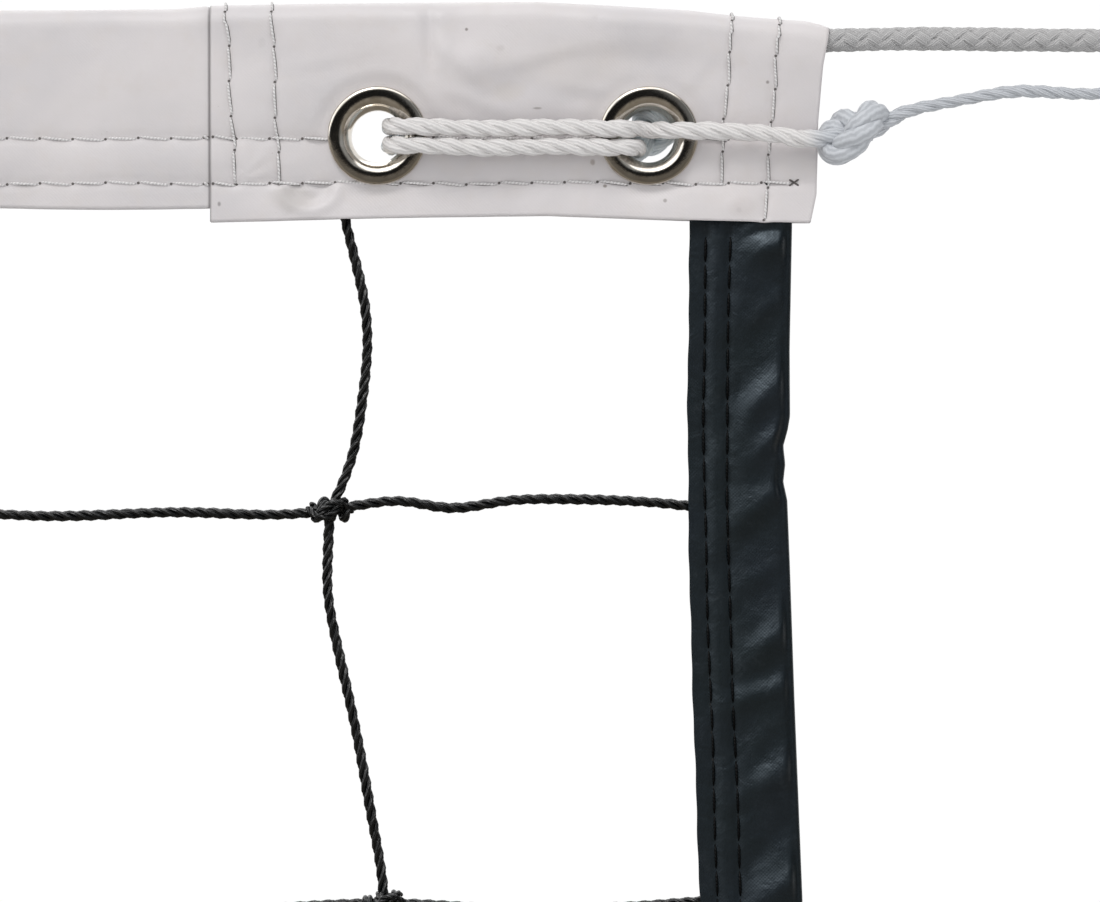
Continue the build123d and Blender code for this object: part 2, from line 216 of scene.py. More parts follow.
class Noise:
    """Smooth seeded field over two coordinates: a sum of plane waves."""

    def __init__(self, seed, shortest, longest, count=14):
        draw = np.random.default_rng(seed)
        wavelength = np.exp(draw.uniform(math.log(shortest), math.log(longest), count))
        heading = draw.uniform(0, TAU, count)
        self.rate_x = TAU / wavelength * np.cos(heading)
        self.rate_y = TAU / wavelength * np.sin(heading)
        self.phase = draw.uniform(0, TAU, count)
        self.height = (wavelength / longest) ** 0.7
        self.height /= np.sqrt((self.height**2).sum() / 2)

    def __call__(self, x, y):
        x, y = np.broadcast_arrays(np.asarray(x, float), np.asarray(y, float))
        total = np.zeros(x.shape)
        for rate_x, rate_y, phase, height in zip(self.rate_x, self.rate_y, self.phase, self.height):
            total += height * np.sin(rate_x * x + rate_y * y + phase)
        return total


# ------------------------------------------------------------------ mesh kit
class Builder:
    """Collects points (mm), faces, two UV layers and material slots, then makes one mesh object."""

    def __init__(self):
        self.points, self.normals, self.point_count = [], [], 0
        self.loops, self.counts, self.lay, self.bake, self.slots = [], [], [], [], []

    def add_points(self, points, normals=None):
        points = np.asarray(points, float).reshape(-1, 3)
        normals = np.zeros_like(points) if normals is None else normals.reshape(-1, 3)
        self.points.append(points)
        self.normals.append(normals)
        first = self.point_count
        self.point_count += len(points)
        return first

    def add_faces(self, first, faces, lay=None, bake=None, slot=0):
        if not len(faces):
            return
        count, corner_count = faces.shape
        self.loops.append((faces + first).ravel())
        self.counts.append(np.full(count, corner_count))
        self.slots.append(np.full(count, slot))
        for store, uv in ((self.lay, lay), (self.bake, bake)):
            store.append((np.zeros((*faces.shape, 2)) if uv is None else uv).reshape(-1, 2))

    def make(self, name, materials, side=1.0, normals=False):
        points, point_normals = np.concatenate(self.points), np.concatenate(self.normals)
        loops, counts = np.concatenate(self.loops), np.concatenate(self.counts)
        lay, bake = np.concatenate(self.lay), np.concatenate(self.bake)
        starts = np.concatenate([[0], np.cumsum(counts)[:-1]])
        if side < 0:
            points, point_normals = points * [-1, 1, 1], point_normals * [-1, 1, 1]
            # the mirror image needs each face's corners in reverse
            reverse = np.repeat(2 * starts + counts - 1, counts) - np.arange(len(loops))
            loops, lay, bake = loops[reverse], lay[reverse], bake[reverse]
        mesh = bpy.data.meshes.new(name)
        mesh.vertices.add(len(points))
        mesh.vertices.foreach_set("co", (points * MM).astype(np.float32).ravel())
        mesh.loops.add(len(loops))
        mesh.loops.foreach_set("vertex_index", loops.astype(np.int32))
        mesh.polygons.add(len(counts))
        mesh.polygons.foreach_set("loop_start", starts.astype(np.int32))
        slots = np.concatenate(self.slots).astype(np.int32)
        mesh.polygons.foreach_set("material_index", slots)
        mesh.update(calc_edges=True)
        for layer, values in (("Lay", lay), ("OFBake", bake)):
            uv = mesh.uv_layers.new(name=layer)
            uv.data.foreach_set("uv", values.astype(np.float32).ravel())
        mesh.uv_layers["OFBake"].active = True
        for material in materials:
            mesh.materials.append(material)
        mesh.polygons.foreach_set("use_smooth", np.full(len(counts), True))
        mesh.validate()
        if normals:
            sizes = np.linalg.norm(point_normals, axis=1)
            if (sizes > 0.5).all():
                given = (point_normals / sizes[:, None]).tolist()
                mesh.normals_split_custom_set_from_vertices(given)
        thing = bpy.data.objects.new(name, mesh)
        bpy.context.collection.objects.link(thing)
        return thing


def add_riding(part, name, materials, body, nodes, side=1.0, normals=False):
    """Make the part's object and tie it to one body of the frame."""
    thing = part.make(name, materials, side, normals)
    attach(thing, body)
    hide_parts(*nodes)


def add_bending(part, name, materials, bodies, start, end, nodes, slot, side=1.0, normals=False):
    """Make the part's object, baked into world space where it is built. The bodies and the two places (m) for its
    passage from one body to the next are not used.
    """
    thing = part.make(name, materials, side, normals)
    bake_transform(thing)
    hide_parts(*nodes)


def metres(x, y, z):
    return x * MM, y * MM, z * MM


def index_grid(*sizes):
    return [a.ravel() for a in np.meshgrid(*map(np.arange, sizes), indexing="ij")]


def corners(u_start, u_end, v_start, v_end):
    """The four corners (u, v) of each quad."""
    pairs = ((u_start, v_start), (u_end, v_start), (u_end, v_end), (u_start, v_end))
    return np.stack([coords(*pair) for pair in pairs], 1)


def tube(part, path, radius, sides=8, frames=None, profile=1.0, slot=0, rect=(0, 0, 1, 1),
         lay_start=0.0, lanes=1.0):
    """Closed tube round the path. profile: radius factor per side. rect: its place in OFBake."""
    path = np.asarray(path, float)
    normal, binormal = frames if frames is not None else transport(path)
    along = length(path)
    side = np.arange(sides)
    angle = TAU * side / sides
    radii = np.asarray(radius, float).reshape(-1, 1) * profile
    out = np.cos(angle)[:, None] * normal[:, None] + np.sin(angle)[:, None] * binormal[:, None]
    first = part.add_points(path[:, None] + radii[..., None] * out)
    i, j = index_grid(len(path) - 1, sides)
    faces = corners(j, (j + 1) % sides, i * sides, (i + 1) * sides).sum(-1)
    u_start, u_end = j / sides, (j + 1) / sides
    v_start, v_end = along[i], along[i + 1]
    lay = corners(u_start * lanes, u_end * lanes, v_start + lay_start, v_end + lay_start)
    x0, y0, x1, y1 = rect
    bake = corners(y0 + (y1 - y0) * u_start, y0 + (y1 - y0) * u_end,
                   x0 + (x1 - x0) * (v_start / along[-1]),
                   x0 + (x1 - x0) * (v_end / along[-1]))[..., ::-1]
    part.add_faces(first, faces, lay, bake, slot)
    for ring, order, cap_x in ((0, side[::-1], x0), (len(path) - 1, side, x1)):
        cap_lay = np.full((1, sides, 2), (0.0, along[ring] + lay_start))
        cap_bake = np.full((1, sides, 2), (cap_x, (y0 + y1) / 2))
        part.add_faces(first, (order + ring * sides)[None], cap_lay, cap_bake, slot)


def laid(part, path, radius, lay_length, sides=8, frames=None, phase=0.0, taper=1.0, fat=1.06):
    """Twisted rope: three round strands laid round the path. taper scales it at each point."""
    strands = 3
    frames = frames if frames is not None else transport(path)
    along = length(path)
    strand_r = radius / (1 + 1 / math.sin(math.pi / strands)) * fat
    scale = np.broadcast_to(taper, len(path))
    for a in range(strands):
        out = swing(TAU * along / lay_length + TAU * a / strands + phase, frames)
        centre = path + out * ((radius - strand_r) * scale)[:, None]
        tube(part, centre, strand_r * scale, sides, frame_towards(centre, out),
             rect=(0, a / strands, 1, (a + 0.98) / strands), lay_start=37.0 * a)


def braid(part, path, radius, pitch, count, sides):
    """Flat strands braided in both directions round a core."""
    frames = frame_towards(path, BACK)
    along = length(path)
    turn = TAU / pitch
    section = TAU * np.arange(sides) / sides
    half_width = TAU * (radius - 0.75) / count / 2 * 1.02
    half_thick = 0.26 * radius
    profile = 1 / np.sqrt((np.cos(section) / half_thick) ** 2 + (np.sin(section) / half_width) ** 2)
    middle_r = radius - half_thick - 0.10 * radius
    wobble = 0.05 * np.sin(along / 7.7) + 0.04 * np.sin(along / 3.1 + 2)
    lane_count = 2 * count + 1
    for hand in (1, -1):
        for a in range(count):
            out = swing(hand * turn * along + TAU * a / count, frames)
            weave_r = hand * 0.10 * radius * np.cos(count * turn * along)
            centre = path + out * (middle_r + weave_r + wobble)[:, None]
            lane = (a + (count if hand < 0 else 0)) / lane_count
            tube(part, centre, 1.0, sides, frame_towards(centre, out), profile=profile,
                 rect=(0, lane, 1, lane + 0.9 / lane_count), lay_start=53.0 * a + 17 * hand,
                 lanes=3.0)
    core_frames = (frames[0][::2], frames[1][::2])
    tube(part, path[::2], middle_r - half_thick * 0.2, 10, core_frames, rect=(0, 0.94, 1, 1.0))


def fray(part, path, draw, count, radius, step, root, middle, reach, spread):
    """Loose fibres at the end of a cord.

    root, middle: (distance along, distance out). reach, spread: ranges of both at the tips.
    """
    end, ahead = path[-1], unit(path[-1] - path[-6])
    for _ in range(count):
        out = unit(draw.normal(size=3))
        fibre_points = [end + ahead * root[0] + out * root[1],
                        end + ahead * middle[0] + out * middle[1],
                        end + ahead * draw.uniform(*reach) + out * draw.uniform(*spread)]
        tube(part, spline(fibre_points, step), radius, 5)


def sheet(part, outer, thick, lay, keep=None, trim=(0, 0)):
    """Closed skin from a grid of outer points: outer face, inner face thick below it, and rims.

    keep marks the cells to build. trim drops that many rows at each end of the first axis once
    the normals are known.
    """
    normals = unit(np.cross(*np.gradient(outer, axis=(0, 1))))
    if keep is None:
        keep = np.ones((outer.shape[0] - 1, outer.shape[1] - 1), bool)
    outer, normals, lay, keep = (a[trim[0] : len(a) - trim[1]]
                                 for a in (outer, normals, lay, keep))
    rows, columns = outer.shape[:2]
    count = rows * columns
    first = part.add_points(outer, normals)
    part.add_points(outer - normals * thick, -normals)
    i, j = np.nonzero(keep)
    quads = np.stack([i * columns + j, (i + 1) * columns + j, (i + 1) * columns + j + 1,
                      i * columns + j + 1], 1)
    lay = lay.reshape(-1, 2)
    u = np.repeat(np.linspace(0, 1, rows), columns)
    v = np.tile(np.linspace(0, 1, columns), rows)
    bake_outer, bake_inner = coords(u, 0.02 + v * 0.88), coords(u, 0.92 + v * 0.07)
    part.add_faces(first, quads, lay[quads], bake_outer[quads])
    back = quads[:, ::-1]
    part.add_faces(first, back + count, lay[back], bake_inner[back])
    padded_keep = np.zeros((rows + 1, columns + 1), bool)
    padded_keep[1:rows, 1:columns] = keep
    # neighbour's step in i and j, and the two corners of the edge shared with it
    for step_i, step_j, a, b in ((-1, 0, 0, 3), (1, 0, 2, 1), (0, -1, 1, 0), (0, 1, 3, 2)):
        bare = ~padded_keep[i + 1 + step_i, j + 1 + step_j]
        edge_a, edge_b = quads[bare, a], quads[bare, b]
        rim = np.stack([edge_a, edge_b, edge_b + count, edge_a + count], 1)
        part.add_faces(first, rim, lay[rim % count], bake_outer[rim % count])


def clear_of(x, z, centres, radius):
    """Where (x, z) lies outside every circle, on either side of the net."""
    clear = np.ones(np.shape(x), bool)
    for centre_x, centre_z in centres:
        clear &= np.hypot(np.abs(x) - centre_x, z - centre_z) > radius
    return clear


def eyelet_cut(grid, centres, radius):
    """Cells of the grid left standing round the eyelets."""
    middle = (grid[:-1, :-1] + grid[1:, :-1] + grid[:-1, 1:] + grid[1:, 1:]) / 4
    return clear_of(middle[..., 0], middle[..., 2], centres, radius)


def groove(across, along, pitch, line, shoulder, hole):
    """Depth of the dent at a stitch line.

    line, shoulder: (depth, width). hole: (depth, width across, width along), one per pitch.
    """
    from_hole = np.abs(np.mod(along / pitch + 0.5, 1.0) - 0.5) * pitch
    return (line[0] * bump(across, 0, line[1]) + shoulder[0] * bump(across, 0, shoulder[1])
            + hole[0] * bump(across, 0, hole[1]) * bump(from_hole, 0, hole[2]))


def padded(stations, before, after):
    """The stations with one more at either end, at the same spacing."""
    first = [[2 * stations[0] - stations[1]]] * before
    last = [[2 * stations[-1] - stations[-2]]] * after
    return np.concatenate(first + [stations] + last)


# ------------------------------------------------------------------ stitch kit
def stitches(part, points, normals, radius, rings, sides, lift, sink, gap=0.10, lean=0.0,
             slot=0, course=None):
    """One arched thread from each hole to the next.

    gap: bare share of the span at each end. lean: slant. course: (place of each hole, places,
    points, normals) of a line on the cloth that the threads follow.
    """
    start, end = points[:-1], points[1:]
    out = unit(normals[:-1] + normals[1:])
    sideways = np.cross(unit(end - start), out)
    share = np.linspace(gap, 1 - gap, rings)
    arch = np.maximum(0.0, np.sin(math.pi * (share - gap) / (1 - 2 * gap))) ** 0.6
    height = lift * arch - sink
    if course is None:
        centre = start[:, None] + (end - start)[:, None] * share[:, None]
        out = np.broadcast_to(out[:, None], centre.shape)
    else:
        at, places, line, line_normals = course
        place = at[:-1, None] + (at[1:] - at[:-1])[:, None] * share
        centre = resample(place, places, line)
        out = unit(resample(place, places, line_normals))
    slant = sideways[:, None] * (lean * (share - 0.5))[:, None]
    centre = centre + out * height[:, None] + slant
    tangent = unit(np.gradient(centre, axis=1))
    normal = square_to(out, tangent)
    binormal = np.cross(tangent, normal)
    angle = TAU * np.arange(sides) / sides
    radii = np.full(rings, radius)
    radii[[0, -1]] *= 0.55
    ring = (np.cos(angle)[:, None] * normal[:, :, None]
            + np.sin(angle)[:, None] * binormal[:, :, None])
    first = part.add_points(centre[:, :, None] + radii[:, None, None] * ring)
    k, i, j = index_grid(len(start), rings - 1, sides)
    row = (k * rings + i) * sides
    faces = corners(j, (j + 1) % sides, row, row + sides).sum(-1)
    span_length = np.linalg.norm(end - start, axis=1)[k]
    lay = corners(j / sides, (j + 1) / sides, k * 9.0 + share[i] * span_length,
                  k * 9.0 + share[i + 1] * span_length)
    part.add_faces(first, faces, lay, np.mod(lay * [1, 0.11], 1.0), slot)
    cap = np.arange(len(start))[:, None] * rings * sides + np.arange(sides)
    part.add_faces(first, cap[:, ::-1], slot=slot)
    part.add_faces(first, cap + (rings - 1) * sides, slot=slot)


def shade_line(part, points, normals, right, down, lift, gap=0.08, lean=0.0, course=None):
    """Thin dark line of painted shadow that a tight thread casts on its shaded side."""
    shift = np.array([right, 0.0, -down])
    if course is not None:
        course = (course[0], course[1], course[2] + shift, course[3])
    stitches(part, points + shift, normals, radius=0.13, rings=5 if course is None else 10,
             sides=5, lift=lift, sink=0.02, gap=gap, lean=lean, slot=1, course=course)


def needle_holes(part, points, normals, radius, sides):
    """Small dark discs, painted shade of the needle holes' dimples, lying just on the cloth."""
    lift = 0.05
    out = unit(normals)
    reference = np.where(np.abs(out[:, :1]) > 0.9, [[0.0, 0.0, 1.0]], [[1.0, 0.0, 0.0]])
    across = unit(np.cross(out, reference))
    up = np.cross(out, across)
    angle = TAU * np.arange(sides) / sides
    ring = (points[:, None] + out[:, None] * (lift * 0.2)
            + radius * (np.cos(angle)[:, None] * across[:, None]
                        + np.sin(angle)[:, None] * up[:, None]))
    first = part.add_points(np.concatenate([ring, (points + out * lift)[:, None]], 1))
    k, j = index_grid(len(points), sides)
    start = k * (sides + 1)
    faces = np.stack([start + j, start + (j + 1) % sides, start + sides], 1)
    part.add_faces(first, faces, slot=1)


def runs_of(ok):
    """Slices of two or more neighbours that are all true."""
    edges = np.flatnonzero(np.diff(np.concatenate([[0], ok.astype(int), [0]])))
    return [slice(a, b) for a, b in edges.reshape(-1, 2) if b - a > 1]


def face_normals(count, back):
    return np.tile([[0.0, 1.0 if back else -1.0, 0.0]], (count, 1))


# ------------------------------------------------------------------ node kit
class Graph:
    """Short calls for adding nodes. spare is put on the unused third input of math nodes."""

    def __init__(self, tree, spare=None):
        self.tree, self.spare = tree, spare
        tree.nodes.clear()

    def node(self, kind, **properties):
        node = self.tree.nodes.new(kind)
        for key, value in properties.items():
            setattr(node, key, value)
        return node

    def put(self, socket, value):
        if isinstance(value, bpy.types.NodeSocket):
            self.tree.links.new(value, socket)
        elif value is not None:
            socket.default_value = value

    def math(self, operation, a, b=0.0):
        node = self.node("ShaderNodeMath", operation=operation)
        for socket, value in zip(node.inputs, (a, b, self.spare)):
            self.put(socket, value)
        return node.outputs[0]

    def mul(self, value, by):
        return self.math("MULTIPLY", value, by)

    def add(self, value, plus):
        return self.math("ADD", value, plus)

    def sub(self, value, less):
        return self.math("SUBTRACT", value, less)

    def hypot(self, a, b):
        return self.math("SQRT", self.add(self.mul(a, a), self.mul(b, b)))

    def separate(self, vector):
        node = self.node("ShaderNodeSeparateXYZ")
        self.put(node.inputs[0], vector)
        return node.outputs

    def ramp(self, value, start, stop, low=0.0, high=1.0):
        """Smooth step from low at start to high at stop."""
        node = self.node("ShaderNodeMapRange", interpolation_type="SMOOTHSTEP")
        self.put(node.inputs["Value"], value)
        for key, number in (("From Min", start), ("From Max", stop),
                            ("To Min", low), ("To Max", high)):
            node.inputs[key].default_value = number
        return node.outputs[0]


class Surface(Graph):
    """A principled material whose coordinates come in millimetres."""

    def __init__(self, name):
        self.material = bpy.data.materials.new(name)
        self.material.use_nodes = True
        super().__init__(self.material.node_tree, spare=0.0)
        output = self.node("ShaderNodeOutputMaterial")
        self.shader = self.node("ShaderNodeBsdfPrincipled")
        self.put(output.inputs[0], self.shader.outputs[0])

    def uv(self):
        vector = self.node("ShaderNodeUVMap", uv_map="Lay").outputs[0]
        u, v, _ = self.separate(vector)
        return vector, u, v

    def place(self):
        node = self.node("ShaderNodeVectorMath", operation="SCALE")
        self.put(node.inputs[0], self.node("ShaderNodeTexCoord").outputs["Object"])
        node.inputs["Scale"].default_value = 1000.0
        return node.outputs[0]

    def noise(self, vector, scale, detail=2.0, rough=0.5, distortion=0.0):
        node = self.node("ShaderNodeTexNoise")
        for key, value in (("Vector", vector), ("Scale", scale), ("Detail", detail),
                           ("Roughness", rough), ("Distortion", distortion)):
            self.put(node.inputs[key], value)
        return node.outputs["Fac"]

    def mapping(self, vector, scale=(1, 1, 1), location=(0, 0, 0)):
        node = self.node("ShaderNodeMapping")
        for key, value in (("Vector", vector), ("Scale", scale), ("Location", location)):
            self.put(node.inputs[key], value)
        return node.outputs[0]

    def mix(self, share, first, second):
        node = self.node("ShaderNodeMix", data_type="RGBA")
        self.put(node.inputs[0], share)
        for socket, value in ((node.inputs[6], first), (node.inputs[7], second)):
            self.put(socket, (*value, 1.0) if isinstance(value, tuple) else value)
        return node.outputs[2]

    def weave(self, u, v, pitch):
        """Height of a plain weave pressed through a coating."""
        return self.mul(self.math("SINE", self.mul(u, TAU / pitch)),
                        self.math("SINE", self.mul(v, TAU / pitch)))

    def bumps(self, *layers):
        """Chained bumps, each (height, depth in mm)."""
        last = None
        for height, depth in layers:
            node = self.node("ShaderNodeBump")
            node.inputs["Strength"].default_value = 1.0
            node.inputs["Distance"].default_value = depth * MM
            self.put(node.inputs["Height"], height)
            self.put(node.inputs["Normal"], last)
            last = node.outputs[0]
        self.put(self.shader.inputs["Normal"], last)

    def finish(self, **inputs):
        for key, value in inputs.items():
            value = (*value, 1.0) if isinstance(value, tuple) else value
            self.put(self.shader.inputs[key.replace("_", " ")], value)
        return self.material


# ------------------------------------------------------------------ materials
# x, z, radius in x, radius in z, strength, colour
SMUDGES = (
    (4622.5, 968.5, 7.0, 4.0, 0.55, (0.50, 0.47, 0.45)),
    (4645.0, 1003.0, 13.0, 7.0, 0.16, (0.60, 0.55, 0.53)),
    (4694.0, 1002.0, 17.0, 8.0, 0.20, (0.62, 0.56, 0.51)),
    (4676.0, 995.0, 5.0, 3.0, 0.30, (0.56, 0.51, 0.46)),
    (4735.0, 966.5, 4.5, 3.5, 0.25, (0.58, 0.52, 0.50)),
    (4665.9, 1010.5, 0.5, 0.5, 0.80, (0.20, 0.17, 0.16)),
    (4683.6, 990.9, 1.3, 0.35, 0.70, (0.28, 0.25, 0.24)),
    (4697.4, 977.4, 0.8, 1.0, 0.55, (0.30, 0.24, 0.20)),
    (4700.5, 971.5, 0.55, 0.45, 0.80, (0.20, 0.17, 0.15)),
    (4715.5, 967.8, 0.55, 0.55, 0.65, (0.24, 0.21, 0.20)),
    (4741.1, 997.4, 0.6, 0.6, 0.75, (0.22, 0.19, 0.18)),
    (4604.0, 967.0, 0.6, 0.8, 0.70, (0.22, 0.20, 0.20)),
    (4614.8, 1007.2, 1.1, 1.4, 0.10, (0.35, 0.32, 0.31)),
    (4674.3, 1005.8, 1.5, 1.1, 0.20, (0.40, 0.35, 0.33)),
    (4734.0, 965.5, 0.9, 0.9, 0.16, (0.36, 0.33, 0.33)),
)


def white_vinyl():
    mat = Surface("white_vinyl")
    vector, u, v = mat.uv()
    cloud = mat.noise(vector, scale=1 / 34.0, detail=3.0, rough=0.5)
    mottle = mat.noise(vector, scale=1 / 7.0, detail=4.0, rough=0.6)
    light, shade, stain = (0.690, 0.652, 0.654), (0.622, 0.593, 0.602), (0.645, 0.596, 0.574)
    base = mat.mix(mat.ramp(cloud, start=0.3, stop=0.7), light, shade)
    base = mat.mix(mat.mul(mat.ramp(mottle, start=0.45, stop=0.75), by=0.35), base, stain)
    # sparse scuffs and specks
    grain = mat.noise(vector, scale=1 / 0.75, detail=2.0, rough=0.55)
    patches = mat.noise(mat.mapping(vector, location=(71.0, 13.0, 0)), scale=1 / 11.0)
    speck = mat.mul(mat.ramp(grain, start=0.70, stop=0.76),
                    by=mat.ramp(patches, start=0.58, stop=0.70))
    base = mat.mix(mat.mul(speck, by=0.55), base, (0.25, 0.20, 0.18))
    for x, z, radius_x, radius_z, strength, colour in SMUDGES:
        dx = mat.math("DIVIDE", mat.sub(u, x), radius_x)
        dz = mat.math("DIVIDE", mat.sub(v, z), radius_z)
        ragged = mat.mul(mat.sub(mottle, less=0.5), by=1.2)
        distance = mat.add(mat.hypot(dx, dz), plus=ragged)
        base = mat.mix(mat.mul(mat.ramp(distance, start=1.1, stop=0.4), strength), base, colour)
    # painted contact shadow along the sleeve's inner edge, with some grime
    from_edge = mat.math("ABSOLUTE", mat.sub(u, less=SLEEVE_X - 0.1))
    edge = mat.mul(mat.ramp(from_edge, start=0.65, stop=0.10), by=0.62)
    base = mat.mix(edge, base, (0.16, 0.15, 0.155))
    crinkle = mat.noise(vector, scale=1 / 4.5, detail=3.0, rough=0.55, distortion=0.4)
    mat.bumps((crinkle, 0.10), (grain, 0.012), (mat.weave(u, v, pitch=0.9), 0.006))
    return mat.finish(Base_Color=base, Roughness=mat.add(0.40, plus=mat.mul(mottle, by=0.16)),
                      Specular_IOR_Level=0.42)


def black_vinyl():
    mat = Surface("black_vinyl")
    vector, u, v = mat.uv()
    cloud = mat.noise(vector, scale=1 / 28.0, detail=3.0, rough=0.5)
    mottle = mat.noise(vector, scale=1 / 5.0, detail=4.0, rough=0.6)
    fine = mat.noise(vector, scale=1 / 0.9, detail=3.0, rough=0.6)
    green_black, blue_black = (0.0022, 0.0054, 0.0068), (0.0034, 0.0060, 0.0096)
    base = mat.mix(mat.ramp(cloud, start=0.3, stop=0.7), green_black, blue_black)
    # dust caught in the weave, and painted sheen: lighter grainy mottles like the tape's highlights
    dust_and_sheen = mat.mul(mat.ramp(mottle, start=0.50, stop=0.80),
                   by=mat.ramp(fine, start=0.40, stop=0.66))
    base = mat.mix(mat.mul(dust_and_sheen, by=0.30), base, (0.035, 0.039, 0.044))
    crinkle = mat.noise(vector, scale=1 / 6.0, detail=3.0, rough=0.55, distortion=0.5)
    mat.bumps((crinkle, 0.34), (mat.weave(u, v, pitch=0.88), 0.008), (fine, 0.035))
    return mat.finish(Base_Color=base, Roughness=mat.add(0.30, plus=mat.mul(mottle, by=0.22)),
                      Specular_IOR_Level=0.56, Specular_Tint=(0.74, 0.88, 1.0))


def fibre(name, dark, light, rough, filaments, slope, depth, fuzz, specular, glint=0.0,
          painted_knot_light_and_shade=False):
    """Yarn: filaments running along a strand, with slow colour change along it.

    slope: how fast the filaments turn. depth, fuzz: bump depths in mm. glint: share of painted
    glints, bright streaks along the yarn. painted_knot_light_and_shade: colder white, painted as
    shade on the stopper knot and the free end, and as light on the cord behind the front face.
    """
    mat = Surface(name)
    vector, u, v = mat.uv()
    lane = mat.add(mat.mul(u, TAU * filaments), plus=mat.mul(v, slope))
    wobble = mat.noise(vector, scale=0.9)
    filament = mat.math("SINE", mat.add(lane, plus=mat.mul(wobble, by=5.0)))
    stretched = mat.mapping(vector, scale=(6.0, 0.35, 1.0))
    along = mat.noise(stretched, scale=1.0, detail=3.0, rough=0.6)
    share = mat.add(mat.mul(mat.ramp(filament, start=-1.0, stop=1.0), by=0.55),
                    plus=mat.mul(along, by=0.45))
    base = mat.mix(share, dark, light)
    if glint:
        # painted glints: bright streaks in the yarn's colour where highlights would fall
        bright = tuple(min(1.0, channel * 4) for channel in light)
        base = mat.mix(mat.mul(mat.ramp(along, start=0.60, stop=0.80), glint), base, bright)
    if painted_knot_light_and_shade:
        # painted shade, darker and bluer, past x 4749 mm on the stopper knot and free end; painted light, brighter
        # and bluer, on the cord behind the front face
        x, y, _ = mat.separate(mat.place())
        outside = mat.ramp(mat.math("ABSOLUTE", x), start=4749.0, stop=4756.0)
        behind = mat.ramp(y, start=-3.5, stop=0.5)
        painted_knot_shade_colour = mat.mix(share, (0.42, 0.435, 0.465), (0.67, 0.69, 0.725))
        painted_back_light_colour = mat.mix(share, (0.62, 0.68, 0.72), (0.90, 0.95, 0.98))
        base = mat.mix(behind, mat.mix(outside, base, painted_knot_shade_colour), painted_back_light_colour)
    mat.bumps((filament, depth), (mat.noise(mat.place(), scale=2.2, rough=0.6), fuzz))
    return mat.finish(Base_Color=base, Roughness=rough, Specular_IOR_Level=specular)


def nickel():
    mat = Surface("nickel")
    vector = mat.place()
    worn = mat.noise(vector, scale=0.35, detail=4.0, rough=0.6)
    brushed = mat.mapping(vector, scale=(1.0, 0.25, 1.0))
    fine = mat.noise(brushed, scale=3.5, detail=3.0, rough=0.7)
    bright, dull = (0.70, 0.66, 0.60), (0.56, 0.51, 0.44)
    base = mat.mix(mat.ramp(worn, start=0.35, stop=0.75), bright, dull)
    pits = mat.ramp(mat.noise(vector, scale=1.3, rough=0.6), start=0.68, stop=0.76)
    base = mat.mix(mat.mul(pits, by=0.5), base, (0.25, 0.22, 0.19))
    # painted dark reflection: a dark band on the crown of the sleeve eyelets, for the dark front that the crown
    # reflects
    x, _, z = mat.separate(vector)
    from_middle = mat.math("ABSOLUTE", x)
    dx = mat.math("MINIMUM", *(mat.math("ABSOLUTE", mat.sub(from_middle, eye)) for eye in EYE_X))
    ragged = mat.mul(mat.sub(worn, less=0.5), by=0.9)
    radius = mat.add(mat.hypot(dx, mat.sub(z, EYE_Z)), plus=ragged)
    crown_dark_reflection = mat.mul(mat.ramp(radius, start=9.1, stop=9.7),
                    by=mat.ramp(radius, start=11.95, stop=11.45))
    base = mat.mix(mat.mul(crown_dark_reflection, by=0.62), base, (0.085, 0.078, 0.070))
    mat.bumps((fine, 0.008), (worn, 0.03))
    rough = mat.add(0.07, plus=mat.mul(mat.add(worn, fine), by=0.06))
    return mat.finish(Base_Color=base, Roughness=rough, Metallic=1.0)


# painted shade: a dark colour for the needle holes and the threads' shadows
def hole_shade(name, colour):
    mat = Surface(name)
    share = mat.noise(mat.place(), scale=1.5)
    dark = tuple(channel * 0.5 for channel in colour)
    return mat.finish(Base_Color=mat.mix(share, colour, dark), Roughness=0.8)


def plain_twine():
    """Three-strand twine on a round tube: the strands come from the bump, painted shade in the grooves and painted
    glints.
    """
    mat = Surface("black_twine_light")
    vector, u, v = mat.uv()
    phase = mat.add(u, plus=mat.mul(v, by=3.0 / TWINE_LAY))
    strand = mat.math("ABSOLUTE", mat.math("SINE", mat.mul(phase, by=math.pi)))
    fine = mat.math("SINE", mat.add(mat.mul(u, by=34.0), plus=mat.mul(v, by=-2.2)))
    stretched = mat.mapping(vector, scale=(3.0, 0.35, 1.0))
    along = mat.noise(stretched, scale=1.0, detail=3.0, rough=0.6)
    groove_shade_colour, crown_colour = (0.0008, 0.0008, 0.0010), (0.0055, 0.0065, 0.0075)
    # painted shade: darker colour in the grooves between the strands
    base = mat.mix(mat.ramp(strand, start=0.05, stop=0.7), groove_shade_colour, crown_colour)
    # painted glints: lighter streaks where highlights would fall
    glint = mat.mul(mat.ramp(along, start=0.60, stop=0.80), by=0.3)
    base = mat.mix(glint, base, (0.045, 0.048, 0.052))
    mat.bumps((strand, 0.55), (fine, 0.05))
    return mat.finish(Base_Color=base, Roughness=0.38, Specular_IOR_Level=0.5)


